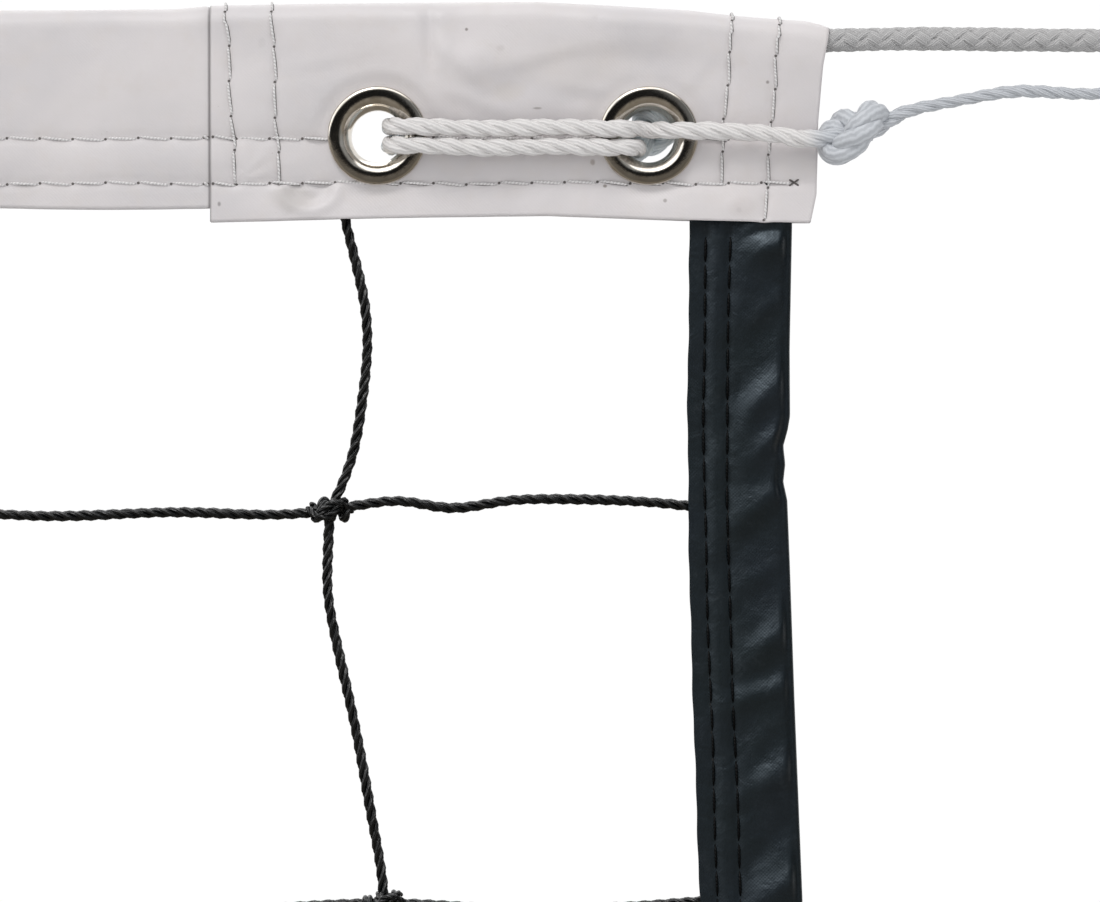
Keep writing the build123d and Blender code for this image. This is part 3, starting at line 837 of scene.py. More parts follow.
WHITE_VINYL = white_vinyl()
BLACK_VINYL = black_vinyl()
TWINE = fibre(
    "black_twine", dark=(0.0012, 0.0014, 0.0016), light=(0.0055, 0.0065, 0.0075), rough=0.34,
    filaments=6, slope=1.3, depth=0.05, fuzz=0.02, specular=0.40, glint=0.45)
CORD = fibre(
    "white_cord", dark=(0.61, 0.59, 0.58), light=(0.86, 0.835, 0.825), rough=0.6,
    filaments=8, slope=1.7, depth=0.06, fuzz=0.05, specular=0.3, painted_knot_light_and_shade=True)
WHITE_BRAID = fibre(
    "white_braid", dark=(0.34, 0.335, 0.335), light=(0.60, 0.59, 0.59), rough=0.6,
    filaments=5, slope=0.6, depth=0.05, fuzz=0.04, specular=0.35)
BLACK_BRAID = fibre(
    "black_braid", dark=(0.006, 0.006, 0.007), light=(0.020, 0.020, 0.022), rough=0.55,
    filaments=5, slope=0.6, depth=0.05, fuzz=0.04, specular=0.4)
WHITE_THREAD = fibre(
    "white_thread", dark=(0.50, 0.485, 0.48), light=(0.86, 0.84, 0.84), rough=0.6,
    filaments=1, slope=7.2, depth=0.05, fuzz=0.01, specular=0.3)
BLACK_THREAD = fibre(
    "black_thread", dark=(0.0004, 0.0006, 0.0008), light=(0.0018, 0.0023, 0.0030), rough=0.55,
    filaments=1, slope=7.2, depth=0.03, fuzz=0.01, specular=0.12)
NICKEL = nickel()
# painted shade of needle holes and thread shadows, grey-brown on the white cloth and near black on the tapes
HOLE_SHADE_ON_WHITE = hole_shade("needle_hole", (0.15, 0.135, 0.13))
HOLE_SHADE_ON_BLACK = hole_shade("needle_hole_dark", (0.004, 0.004, 0.005))
PLAIN_TWINE = plain_twine()


# ------------------------------------------------------------------ headband and end sleeves
SLEEVE_END = 4756.3
BAND_SPLIT = 4470.0  # the headband's middle piece ends here
SEAM_Z = (983.5, 972.25)
SEAM_PITCH = 8.2
UPRIGHT_PITCH = 8.2
FOLD_R = 4.75  # radius of the headband's top fold
SLEEVE_CREASE, BAND_CREASE = 1.5, 1.1  # strength of the creases
TOP_CREASE = SLEEVE_CREASE * 0.75
# x, z of the top fold near the end
TOP_LINE = (
    (4560, 1015.6), (4593, 1015.9), (4601.8, 1016.8), (4630, 1017.3), (4684, 1017.7),
    (4699, 1017.0), (4722, 1015.6), (4733, 1014.3), (4745, 1013.3), (4751, 1012.9),
    (4754.5, 1012.0), (4757, 1010.9))
# x, z of the sleeve's lower edge
LOW_LINE = ((4600, 962.5), (4635, 963.4), (4660, 963.9), (4689, 964.2), (4722, 963.0),
            (4752, 962.4))
# z, x of the sleeve's outer end
END_LINE = ((960, 4751.4), (962, 4751.8), (969.5, 4753.4), (987.5, 4753.8), (1001.5, 4755.0),
            (1008, 4756.2), (1011, 4756.7), (1013, 4756.0), (1018, 4755.0))


def top_line(x):
    """Height of the top fold."""
    far = 1016.3 + 0.5 * np.sin(x / 190.0) + 0.35 * np.sin(x / 61.0 + 1.0)
    near = look_up(TOP_LINE, x)
    return np.where(x < 4560, far + (1015.6 - far) * smooth01((x - 4460) / 100), near)


def low_line(x, sleeve):
    if sleeve:
        return look_up(LOW_LINE, x)
    return 966.2 + 0.25 * np.sin(x / 37.0) + 0.2 * np.sin(x / 11.3 + 2.0)


FRONT_NOISE, BACK_NOISE, FINE_NOISE = Noise(3, 28, 95), Noise(4, 28, 95), Noise(5, 7, 20)
# x, z, angle, height, length of slanting folds
FOLDS = (
    (4665.0, 1002.0, -0.75, 0.42, 9.0), (4668.0, 993.0, -0.35, 0.40, 8.0),
    (4686.0, 1004.5, 0.25, 0.30, 12.0), (4696.0, 996.0, -0.15, 0.35, 9.0),
    (4630.0, 1003.0, 0.2, 0.22, 14.0), (4722.0, 998.0, 0.9, 0.22, 10.0))
PULLS = ((0.35, 0.5), (0.75, 0.4), (1.2, 0.3))  # angle, height


def creases(x, z, back):
    """Soft folds of the vinyl near the corner, as outward displacement."""
    out = 0.30 * (BACK_NOISE if back else FRONT_NOISE)(x, z * 1.3) + 0.035 * FINE_NOISE(x, z)
    if back:
        return out + 0.5 * bump(x - 0.3 * (z - 990), 4680, 5) * bump(z, 1000, 18)
    # upright crease right of the inner eyelet, a valley with raised flanks
    line = x - 4656.6 - 0.10 * (1017 - z) + 1.2 * np.sin((1017 - z) / 9.0)
    section = -0.55 * bump(line, 0, 1.3) + 0.50 * bump(line, 3.6, 2.6) + 0.25 * bump(line, -3.5, 2.5)
    out = out + smooth01((z - 996) / 9.0) * section
    # hollows and a swelling between the eyelets
    out = out - 0.75 * spot(x, z - 0.25 * (x - 4677), 4677, 996.5, 9.5, 4.2)
    out = out + 0.45 * spot(x, z, 4668, 1003, 7.0, 4.5)
    out = out - 0.45 * spot(x, z, 4708, 1003.5, 13.0, 4.0)
    for centre_x, centre_z, angle, height, fold_length in FOLDS:
        along, across = turned(x, z, centre_x, centre_z, angle)
        section = bump(across, 0, 1.7) - 0.7 * bump(across, -3.0, 1.9)
        out = out + 0.5 * height * bump(along, 0, fold_length) * section
    # pull marks fanning from the seam crossing at the sleeve's inner edge
    radius = np.hypot(x - 4607.5, z - 972.0)
    heading = np.arctan2(z - 972.0, x - 4607.5)
    fade = smooth01(radius / 3.0) * np.exp(-radius / 9.0) * np.where(x > 4607, 1.0, 0.3)
    for angle, height in PULLS:
        out = out + height * bump(heading, angle, 0.13) * fade
    # curl under the second upright seam
    radius = np.hypot((x - 4626.5) / 1.25, z - 971.0)
    curl = 0.55 * bump(radius, 5.5, 1.5) - 0.35 * bump(radius, 2.5, 2.2)
    out = out + np.where(z < 972.0, curl, 0.0)
    out = out + 0.35 * spot(x, z, 4733.0, 967.0, 4.0, 2.6)
    # nick at the fold
    return out - 0.5 * bump(x - 0.02 * z, 4699.0 - 20.3, 0.7) * smooth01((z - 1010) / 5)


# x of each upright seam at z 972 and 44 mm higher
UPRIGHTS = ((4608.0, 4605.8), (4618.9, 4617.3), (4729.2, 4732.4), (4741.0, 4744.2))


def upright_x(k, z):
    """The four upright seams of a sleeve, slightly out of true."""
    low, high = UPRIGHTS[k]
    return low + (high - low) * ((z - 972.0) / 44.0) + 0.25 * np.sin(z / 3.7 + k)


def seam_z(k, x):
    return SEAM_Z[k] + 0.22 * np.sin(x / 9.0 + 1.7 * k) + 0.15 * np.sin(x / 3.1 + k)


def tuck(x):
    """How much the headband narrows as it enters the sleeve."""
    return 0.92 * smooth01((x - (SLEEVE_X - 1.5)) / 3.0)


def half_depth(x, z, sleeve, back):
    """Outer half thickness of the folded band at (x, z), below the top fold."""
    depth = 3.15 + 1.60 * smooth01((z - 978.0) / 33.0) + 0.30 * bump(z, 978.0, 3.2)
    depth = depth + 0.35 * smooth01((970.5 - z) / 7.0)
    for k in (0, 1):
        depth = depth - groove(z - seam_z(k, x), x, SEAM_PITCH, line=(0.34, 1.15),
                               shoulder=(0.22, 2.6), hole=(0.20, 1.0, 1.3))
    if sleeve:
        for k in range(4):
            start = 962.0 if k == 3 else 971.0
            dent = groove(x - upright_x(k, z), z, UPRIGHT_PITCH, line=(0.32, 1.15),
                          shoulder=(0.20, 2.4), hole=(0.16, 1.1, 1.2))
            depth = depth - smooth01((z - start) / 1.5) * dent
    depth = depth + creases(x, z, back) * (SLEEVE_CREASE if sleeve else BAND_CREASE)
    # cloth is clamped flat by the eyelets and gathers a little round them
    for eye_x in EYE_X:
        radius = np.hypot(x - eye_x, z - EYE_Z)
        depth = ease(depth, 3.32, smooth01((17.0 - radius) / 5.0))
        depth = depth - 0.18 * bump(radius, 14.0, 1.6)
    return depth if sleeve else depth - tuck(x)


def fold_outline(x, z, arc_x, angle, fold_r, fold_z, sleeve):
    """Front face going up, top fold, then back face going down, as one line of points."""
    share = smooth01((z - (fold_z - 9)) / 9.0)
    depths, bulges = [], []
    for back in (False, True):
        bulge = creases(x, z, back) * TOP_CREASE
        depths.append(ease(half_depth(x, z, sleeve, back), fold_r + bulge, share))
        bulges.append(bulge[-1])
    cos = np.cos(angle)
    arc_r = fold_r + bulges[0] * np.maximum(cos, 0) + bulges[1] * np.maximum(-cos, 0)
    return np.concatenate([coords(x, -depths[0], z),
                           coords(arc_x, -arc_r * cos, fold_z + fold_r * np.sin(angle)),
                           coords(x, depths[1], z)[::-1]])


def band_grid(stations, face_count, arc_count, sleeve):
    """Outer surface of the folded strip and its cloth coordinates."""

    def fit_end(x, z):
        """Stretch the sleeve to its uneven outer end."""
        if not sleeve:
            return x
        reach = look_up(END_LINE, z) - SLEEVE_X
        return SLEEVE_X + (x - SLEEVE_X) * reach / (SLEEVE_END - SLEEVE_X)

    rows, lays = [], []
    share = np.linspace(0, 1, face_count)
    angle = np.linspace(0, math.pi, arc_count + 2)[1:-1]
    for x in stations:
        narrow = 0.0 if sleeve else float(tuck(x))
        low = float(low_line(x, sleeve))
        fold_r = FOLD_R - narrow
        fold_z = float(top_line(x)) - narrow - fold_r
        z = low + (fold_z - low) * share
        face_x = fit_end(np.full(face_count, x), z)
        arc_x = fit_end(x, fold_z + fold_r * np.sin(angle))
        rows.append(fold_outline(face_x, z, arc_x, angle, fold_r, fold_z, sleeve))
        back_lay = coords(face_x + 900.0, fold_z + fold_r * math.pi + (fold_z - z))
        lays.append(np.concatenate([coords(face_x, z), coords(arc_x, fold_z + fold_r * angle),
                                    back_lay[::-1]]))
    return np.stack(rows), np.stack(lays)


BAND_THICK = 0.8
BAND_CUT_R = 8.6  # hole in the cloth at each eyelet
SLEEVE_STEP = 0.8
sleeve_stations = np.linspace(SLEEVE_X, SLEEVE_END, int((SLEEVE_END - SLEEVE_X) / SLEEVE_STEP) + 1)
end_stations = np.concatenate([np.linspace(BAND_SPLIT, 4612, 143), np.linspace(4613.5, 4745, 88)])
for side, sign in SIDES:
    part = Builder()
    grid, lay = band_grid(sleeve_stations, 66, 14, sleeve=True)
    sheet(part, grid, BAND_THICK, lay, eyelet_cut(grid, EYELETS, BAND_CUT_R))
    add_riding(part, "end_sleeve_" + side + "_cloth", [WHITE_VINYL], "band",
               ["end_sleeve_" + side], sign)
    part = Builder()
    grid, lay = band_grid(end_stations, 52, 10, sleeve=False)
    sheet(part, grid, BAND_THICK, lay, eyelet_cut(grid, EYELETS, BAND_CUT_R))
    add_riding(part, "headband_end_" + side, [WHITE_VINYL], "band", ["headband"],
               sign)
part = Builder()
xs = np.linspace(-BAND_SPLIT, BAND_SPLIT, 641)
grid, lay = band_grid(np.abs(xs), 30, 8, sleeve=False)
grid[..., 0] = xs[:, None]
lay[..., 0] = xs[:, None]
sheet(part, grid, BAND_THICK, lay)
add_riding(part, "headband_middle", [WHITE_VINYL], "band", ["headband"])


# ------------------------------------------------------------------ eyelets and washers
def lathe(part, centre_x, centre_z, profile, count, wobble):
    """Ring about a Y axis from a closed (radius, y) outline."""
    size = len(profile)
    angle = TAU * np.arange(count)[:, None] / count
    uneven = 1 + wobble * np.sin(2 * angle + 0.7) + 0.6 * wobble * np.sin(5 * angle)
    radii = profile[:, 0] * uneven
    points = coords(centre_x + radii * np.cos(angle), profile[:, 1],
                    centre_z + radii * np.sin(angle))
    first = part.add_points(points)
    i, j = index_grid(count, size)
    faces = corners(i * size, (i + 1) % count * size, j, (j + 1) % size).sum(-1)
    around = length(np.vstack([profile, profile[:1]]))
    u_start, u_end = i / count, (i + 1) / count
    v_start, v_end = around[j], around[j + 1]
    lay = corners(u_start * 60, u_end * 60, v_start, v_end)
    bake = corners(u_start, u_end, v_start / around[-1], v_end / around[-1])
    part.add_faces(first, faces, lay, bake)


def smooth_outline(points):
    return spline(points, 0.16)[:-1]


def grommet_profile(bore, rim, seat, roll):
    """Rolled front rim with a funnel, barrel, and the end curled over the back washer."""
    return np.vstack([
        smooth_outline([
            (rim, -seat + 0.05), (rim + 0.12, -seat - 0.40 * roll),
            (rim + 0.13, -seat - 0.90 * roll), (rim + 0.02, -seat - 1.34 * roll),
            (rim - 0.28, -seat - 1.66 * roll), (rim - 0.75 * roll, -seat - 1.82 * roll),
            (rim - 1.45 * roll, -seat - 1.90 * roll), (rim - 2.25 * roll, -seat - 1.93 * roll),
            (rim - 3.05 * roll, -seat - 1.86 * roll), (rim - 3.70 * roll, -seat - 1.60 * roll),
            (rim - 4.20 * roll, -seat - 1.16 * roll), (bore + 1.10 * roll, -seat - 0.60 * roll),
            (bore + 0.72 * roll, -seat + 0.25 * roll), (bore + 0.36 * roll, -seat + 1.25 * roll),
            (bore + 0.10, -seat + 2.3 * roll), (bore, 0.4), (bore + 0.02, seat - 0.4),
            (bore + 0.14, seat + 0.85), (bore + 0.50, seat + 1.45), (bore + 1.05, seat + 1.78),
            (bore + 1.6, seat + 1.72), (bore + 2.0, seat + 1.42), (bore + 2.1, seat + 1.12)]),
        [(bore + 1.6, seat + 1.06), (bore + 0.8, seat + 0.8), (bore + 0.5, seat + 0.2),
         (bore + 0.5, -seat + 1.6), (bore + 1.2, -seat + 0.45),
         (rim - 3.4 * roll, -seat - 0.5 * roll), (rim - 0.9, -seat - 0.45)]])


def washer_profile(bore, rim, seat):
    return np.vstack([
        smooth_outline([(rim - 0.15, seat + 0.62), (rim, seat + 0.32), (rim - 0.1, seat + 0.02)]),
        [(bore + 0.62, seat + 0.02)],
        smooth_outline([
            (bore + 0.62, seat + 0.5), (bore + 1.4, seat + 0.82), (bore + 2.4, seat + 1.02),
            ((bore + rim) / 2 + 0.9, seat + 1.10), (rim - 1.2, seat + 1.0),
            (rim - 0.15, seat + 0.64)])])


def eyelet_and_washer(pattern, centre, bore, rim, seat, roll, count, body, sign):
    profiles = (("eyelet", grommet_profile(bore, rim, seat, roll), 0.004),
                ("washer", washer_profile(bore, rim, seat), 0.003))
    for kind, profile, wobble in profiles:
        part = Builder()
        lathe(part, *centre, profile, count, wobble)
        node = pattern % kind
        add_riding(part, node + "_metal", [NICKEL], body, [node], sign)


for side, sign in SIDES:
    for place, centre in zip(("inner", "outer"), EYELETS):
        eyelet_and_washer("%s_" + side + "_" + place, centre, bore=6.5, rim=12.25, seat=3.30,
                          roll=1.0, count=128, body="band", sign=sign)
    eyelet_and_washer("lower_%s_" + side, LOWER_EYE, bore=5.0, rim=8.5, seat=2.45,
                      roll=0.55, count=96, body="net_4", sign=sign)


# ------------------------------------------------------------------ tie cords
# x, y, z along an overhand knot, entered from -x and left towards +x
OVERHAND = np.array([
    (-7.3, -0.0, -0.1), (-5.3, -0.0, -0.1), (-3.2, -0.3, -0.2), (-1.5, -1.3, -0.9),
    (-0.4, -2.2, -2.3), (1.0, -2.0, -3.7), (2.5, -0.9, -4.6), (3.8, 0.7, -4.6),
    (4.7, 2.4, -3.9), (5.0, 3.8, -2.4), (4.8, 4.5, -0.5), (4.0, 4.4, 1.4),
    (2.9, 3.5, 2.9), (1.5, 2.1, 3.6), (0.3, 0.4, 3.6), (-0.9, -1.2, 3.6),
    (-2.2, -2.8, 3.3), (-3.5, -4.0, 2.2), (-4.5, -4.5, 0.5), (-5.0, -4.2, -1.5),
    (-4.9, -3.2, -3.2), (-4.3, -1.5, -4.3), (-3.2, 0.1, -4.7), (-1.8, 1.5, -4.2),
    (-0.3, 2.2, -3.0), (1.0, 2.0, -1.5), (2.3, 0.6, -0.6), (4.2, 0.1, -0.1),
    (6.3, 0.0, -0.1)])


def rotate(a, b, degrees):
    cos, sin = math.cos(math.radians(degrees)), math.sin(math.radians(degrees))
    return cos * a - sin * b, sin * a + cos * b


def knot_at(centre, tilt, roll, scale=1.0, squash=(1, 1, 1)):
    """Overhand knot rolled about its own line, then tilted in XZ."""
    x, y, z = (OVERHAND * scale).T
    y, z = rotate(y, z, roll)
    x, y, z = (coords(x, y, z) * squash).T
    x, z = rotate(x, z, tilt)
    return coords(x, y, z) + np.array(centre)


CORD_R = 2.3
CORD_FRONT, CORD_BACK = -8.0, 8.3  # y of the cord on each face of the sleeve
TAIL_R = 1.62
TIE_HINGE = joint_mm("corner_tie_right_swing")
inner, outer = EYE_X
knot = knot_at(box_centre("tie_knot_right") + [0.2, 0, 0.3], tilt=8.0, roll=115.0,
               squash=(1.12, 0.98, 0.84))[2:-1]
# x, y, z of the cord laced twice through the eyelets
LACING = [
    (4751.0, CORD_FRONT, 983.0), (4742.0, CORD_FRONT, 984.2), (outer + 16.0, CORD_FRONT, 985.0),
    (outer + 9.6, CORD_FRONT - 0.1, 985.1), (outer + 5.2, -6.5, 985.3), (outer + 1.6, -3.2, 985.5),
    (outer - 1.6, -3.0, 985.6), (outer - 5.4, -6.6, 985.5), (outer - 9.8, CORD_FRONT - 0.1, 985.5),
    (4690.0, CORD_FRONT, 985.9), (4672.0, CORD_FRONT, 985.6), (4660.0, CORD_FRONT, 985.9),
    (inner + 9.6, CORD_FRONT, 986.1), (inner + 4.9, -6.3, 986.3), (inner + 3.0, 0.0, 986.5),
    (inner + 4.9, 6.8, 986.3), (inner + 9.6, CORD_BACK, 986.1), (4665.0, CORD_BACK, 985.7),
    (4680.0, CORD_BACK, 983.8), (4693.0, CORD_BACK, 981.4), (outer - 9.6, CORD_BACK, 980.8),
    (outer - 4.6, 6.6, 980.8), (outer - 2.4, 0.0, 981.0), (outer - 4.2, -6.2, 981.0),
    (outer - 9.6, CORD_FRONT, 980.9), (4690.0, CORD_FRONT, 981.2), (4672.0, CORD_FRONT, 980.9),
    (4661.0, CORD_FRONT, 981.2), (inner + 9.6, CORD_FRONT, 981.4), (inner + 4.9, -6.3, 981.6),
    (inner + 3.0, 0.0, 981.9), (inner + 4.9, 6.9, 981.4), (inner + 9.6, 9.4, 981.1),
    (4665.0, 11.9, 981.4), (4680.0, 13.4, 981.4), (4695.0, 13.4, 979.5), (4704.0, 10.5, 978.6)]
end_knot = knot_at([outer + 0.9, 7.0, 985.0], tilt=62.0, roll=200.0, scale=0.92)[1:]
tip = end_knot[-1] + np.array([[2.5, 0.2, -0.4], [5.0, 0.5, -1.6]])
cord_path = spline(np.vstack([knot[::-1], LACING, end_knot, tip]), 0.55)

# free tail: from the knot over an arc, then straight down and out
ARC_START, ARC_END, ARC_R = math.radians(20.0), math.radians(-70.0), 120.0
tail = [knot[-2], knot[-1], TIE_HINGE + [0.6, 0, 0.8]]
for k in range(1, 13):
    angle = ARC_START + (ARC_END - ARC_START) * k / 12
    tail.append(TIE_HINGE + [ARC_R * (math.sin(ARC_START) - math.sin(angle)), 0,
                             ARC_R * (math.cos(angle) - math.cos(ARC_START))])
for k in range(3):
    tail.append(tail[-1] + 19.4 * np.array([math.cos(ARC_END), 0, math.sin(ARC_END)]))
tail = np.array(tail)
for k in range(4, len(tail)):
    tail[k] += [0, 1.4 * math.sin(k * 1.3), 1.0 * math.sin(k * 2.1 + 1)]
tail_path = spline(tail, 0.8)

for side, sign in SIDES:
    draw = np.random.default_rng(21)
    part = Builder()
    along = length(cord_path)
    radius = CORD_R * (1 + 0.035 * np.sin(along / 4.1) + 0.03 * np.sin(along / 1.9 + 1))
    # thicker through the first knot
    radius = radius * (1 + 0.72 * smooth01((44.0 - along) / 7.0) * smooth01((along + 1.0) / 5.0))
    laid(part, cord_path, 1.0, lay_length=19.0, sides=9, taper=radius, phase=0.6, fat=1.24)
    fray(part, cord_path, draw, count=26, radius=0.16, step=0.9, root=(-1.5, 1.0),
         middle=(1.0, 1.6), reach=(3, 5), spread=(1.8, 2.8))
    add_riding(part, "tie_cord_" + side, [CORD], "band",
               ["tie_lacing_" + side, "tie_knot_" + side, "tie_end_knot_" + side],
               sign)
    part = Builder()
    along = length(tail_path)
    radius = np.interp(along, [0, 5, 14], [CORD_R, CORD_R * 0.92, TAIL_R])
    radius = radius * (1 + 0.05 * np.sin(along / 5.3))
    laid(part, tail_path, 1.0, lay_length=15.0, taper=radius, fat=1.18)
    fray(part, tail_path, draw, count=24, radius=0.14, step=1.2, root=(-1.2, 0.7),
         middle=(1.5, 1.2), reach=(4, 8), spread=(1.4, 3.2))
    add_bending(part, "tie_tail_%s_cord" % side, [CORD], ("band", "tie_end_" + side),
                metres(sign * (TIE_HINGE[0] - 4.5), *TIE_HINGE[1:]),
                metres(sign * (TIE_HINGE[0] + 9.0), *TIE_HINGE[1:]),
                ["tie_tail_" + side], "white_cord", sign)


# ------------------------------------------------------------------ headline
def whipping(part, path, start, end):
    """Thread wound round the rope between two distances from its start."""
    along = length(path)
    wound = (along > start) & (along < end)
    centre = path[wound]
    frames = frame_towards(centre, BACK)
    angle = (along[wound] - along[wound][0]) / 0.75 * TAU
    fine, coarse = np.linspace(0, 1, 260), np.linspace(0, 1, len(centre))
    fine_frames = [resample(fine, coarse, axis) for axis in frames]
    out = swing(np.interp(fine, coarse, angle), fine_frames)
    tube(part, resample(fine, coarse, centre) + 3.15 * out, 0.36, 5, slot=1)


HEAD_HINGE = joint_mm("headline_right_swing")
DROOP_R, DROOP_ANGLE = 250.0, math.radians(50.0)
tail = [np.array([4684.0, 0, ROPE_Z]), np.array([4720.0, 0, ROPE_Z]),
        np.array([4756.0, 0, ROPE_Z + 0.1]), np.array([4775.0, 0.2, ROPE_Z + 0.5]),
        np.array([4795.0, 0.3, ROPE_Z + 0.4]), HEAD_HINGE + [0, 0, 0.1], HEAD_HINGE + [10.0, 0, 0]]
for k in range(1, 9):
    angle = DROOP_ANGLE * k / 8
    tail.append(HEAD_HINGE + [10.0 + DROOP_R * math.sin(angle), 0,
                              -DROOP_R * (1 - math.cos(angle))])
for k in range(3):
    tail.append(tail[-1] + 19.3 * np.array([math.cos(DROOP_ANGLE), 0, -math.sin(DROOP_ANGLE)]))
tail_path = spline(tail, 0.9)
tail_length = length(tail_path)[-1]
for side, sign in SIDES:
    part = Builder()
    braid(part, tail_path, 3.05, pitch=24.0, count=4, sides=10)
    whipping(part, tail_path, tail_length - 9.0, tail_length - 2.0)
    add_bending(part, "headline_tail_%s_braid" % side, [WHITE_BRAID, WHITE_THREAD],
                ("headline", "headline_end_" + side),
                metres(sign * (HEAD_HINGE[0] - 14), 0, HEAD_HINGE[2]),
                metres(sign * (HEAD_HINGE[0] + 16), 0, HEAD_HINGE[2]),
                ["headline_tail_" + side], "white_rope", sign)
part = Builder()
path = coords(np.linspace(-4686, 4686, 158), 0.0, ROPE_Z)
tube(part, path, 2.95, 10, frame_towards(path, BACK))
add_riding(part, "headline_inside", [WHITE_BRAID], "headline", ["headline_rope"])


# ------------------------------------------------------------------ netting
# z, x of the side tape's inner and outer edges, from the top down
TAPE_INNER = (
    (1000, 4722.0), (963, 4721.8), (940, 4721.5), (918, 4721.2), (893, 4721.4), (868, 4721.8),
    (830, 4723.0), (793, 4724.3), (740, 4723.6), (690, 4722.4), (640, 4721.8), (590, 4722.2),
    (540, 4723.0), (480, 4722.4), (430, 4721.4), (380, 4721.8), (320, 4722.8), (260, 4722.2),
    (200, 4721.6), (140, 4722.4), (80, 4722.8), (40, 4722.0), (0, 4721.75))[::-1]
TAPE_OUTER = (
    (1000, 4747.2), (961.7, 4747.4), (930.5, 4746.8), (914.0, 4746.9), (910.5, 4746.3),
    (906.5, 4745.2), (902.0, 4745.7), (897.5, 4745.2), (893.0, 4746.2), (878, 4746.8),
    (843, 4748.0), (793, 4750.0), (740, 4749.6), (690, 4748.2), (640, 4747.4), (590, 4747.9),
    (540, 4749.0), (480, 4748.2), (430, 4747.0), (380, 4747.6), (320, 4748.8), (260, 4748.2),
    (200, 4747.2), (140, 4747.8), (80, 4748.4), (40, 4747.9), (0, 4747.75))[::-1]
EDGE_INSET = 7.1  # outermost column, from the tape's inner edge
FINE_CELLS = 3  # cells at each end built in full detail
FINE_ROWS = 3
TOP_Z, LOW_Z = 985.0, 13.0  # ends of the columns
PANEL_ROWS = {1: [0], 2: [1, 2, 3], 3: [4, 5, 6], 4: [7, 8]}
NEXT_TO_EDGE = (1, CELLS - 1)

draw = np.random.default_rng(5)
jitter = draw.normal(size=(ROWS, CELLS + 1, 3)) * [2.4, 0.9, 1.5]
jitter[[0, 3, 6], :, 1:] = 0.0  # rows at the folds stay straight
jitter[:, [0, CELLS]] = 0.0
KNOTS = coords(COL_X, 0.0, ROW_Z[:, None]) + jitter
row_slack = draw.normal(size=(ROWS, CELLS, 2, 3)) * [2.0, 1.0, 1.5]
column_slack = draw.normal(size=(ROWS + 1, CELLS + 1, 2, 3)) * [2.2, 1.1, 0.0]
row_slack[..., 2] -= 1.2
row_slack[1, [0, 1, 2, CELLS - 3, CELLS - 2, CELLS - 1], :, 2] = -1.6
for column, sign in ((CELLS - 1, 1), (1, -1)):
    KNOTS[0, column] = (sign * 4631.6, 0, ROW_Z[0])
    KNOTS[1, column] = (sign * 4645.2, -0.5, 792.0)
    KNOTS[2, column] = (sign * 4634.0, 0.4, 696.2)
    KNOTS[1, column - sign, 2] = 791.2
KNOTS[:, CELLS, 0] = look_up(TAPE_INNER, ROW_Z) + EDGE_INSET
KNOTS[:, 0, 0] = -KNOTS[:, CELLS, 0]

# x, y, z of the twine near the right-hand top corner
TOP_ROW_LAST = np.array([
    (4637.2, -0.3, 891.4), (4643.0, -0.3, 892.3), (4650.5, -0.2, 892.6), (4662.0, 0.3, 891.0),
    (4674.7, 0.4, 892.6), (4689.0, 0.5, 893.2), (4712.0, 0.2, 892.4)])
TOP_ROW_BEFORE = np.array([(4593.0, 0.3, 889.9), (4618.0, 0.0, 889.3)])
TOP_COLUMN = np.array([
    (4632.0, 0, TOP_Z), (4635.3, 0, 964.0), (4639.8, -0.4, 945.0), (4641.0, -0.6, 931.0),
    (4639.6, -0.5, 917.0), (4637.2, -0.2, 904.0), (4633.6, 0.0, 894.5)])
SECOND_COLUMN = np.array([
    (4631.0, 0.0, 876.0), (4631.6, -0.5, 866.0), (4637.6, -0.8, 838.0), (4642.4, -0.7, 812.0)])


def row_points(r, first, last):
    """Control points of row r from one knot to another, with slack between the knots."""
    line = []
    for c in range(first, last):
        a, b = KNOTS[r, c], KNOTS[r, c + 1]
        slack = row_slack[r, c]
        line.append(a)
        if r == 0 and c == CELLS - 1:
            line += list(TOP_ROW_LAST)
        elif r == 0 and c == 0:
            line += list(TOP_ROW_LAST[::-1] * [-1, 1, 1])
        elif r == 0 and c == CELLS - 2:
            line += [a + (b - a) / 3 + slack[0] * 0.6, *TOP_ROW_BEFORE]
        elif r == 0 and c == 1:
            line += [*(TOP_ROW_BEFORE[::-1] * [-1, 1, 1]), a + 2 * (b - a) / 3 + slack[0] * 0.6]
        else:
            line += [a + (b - a) / 3 + slack[0], a + 2 * (b - a) / 3 + slack[1]]
    return line + [KNOTS[r, last]]


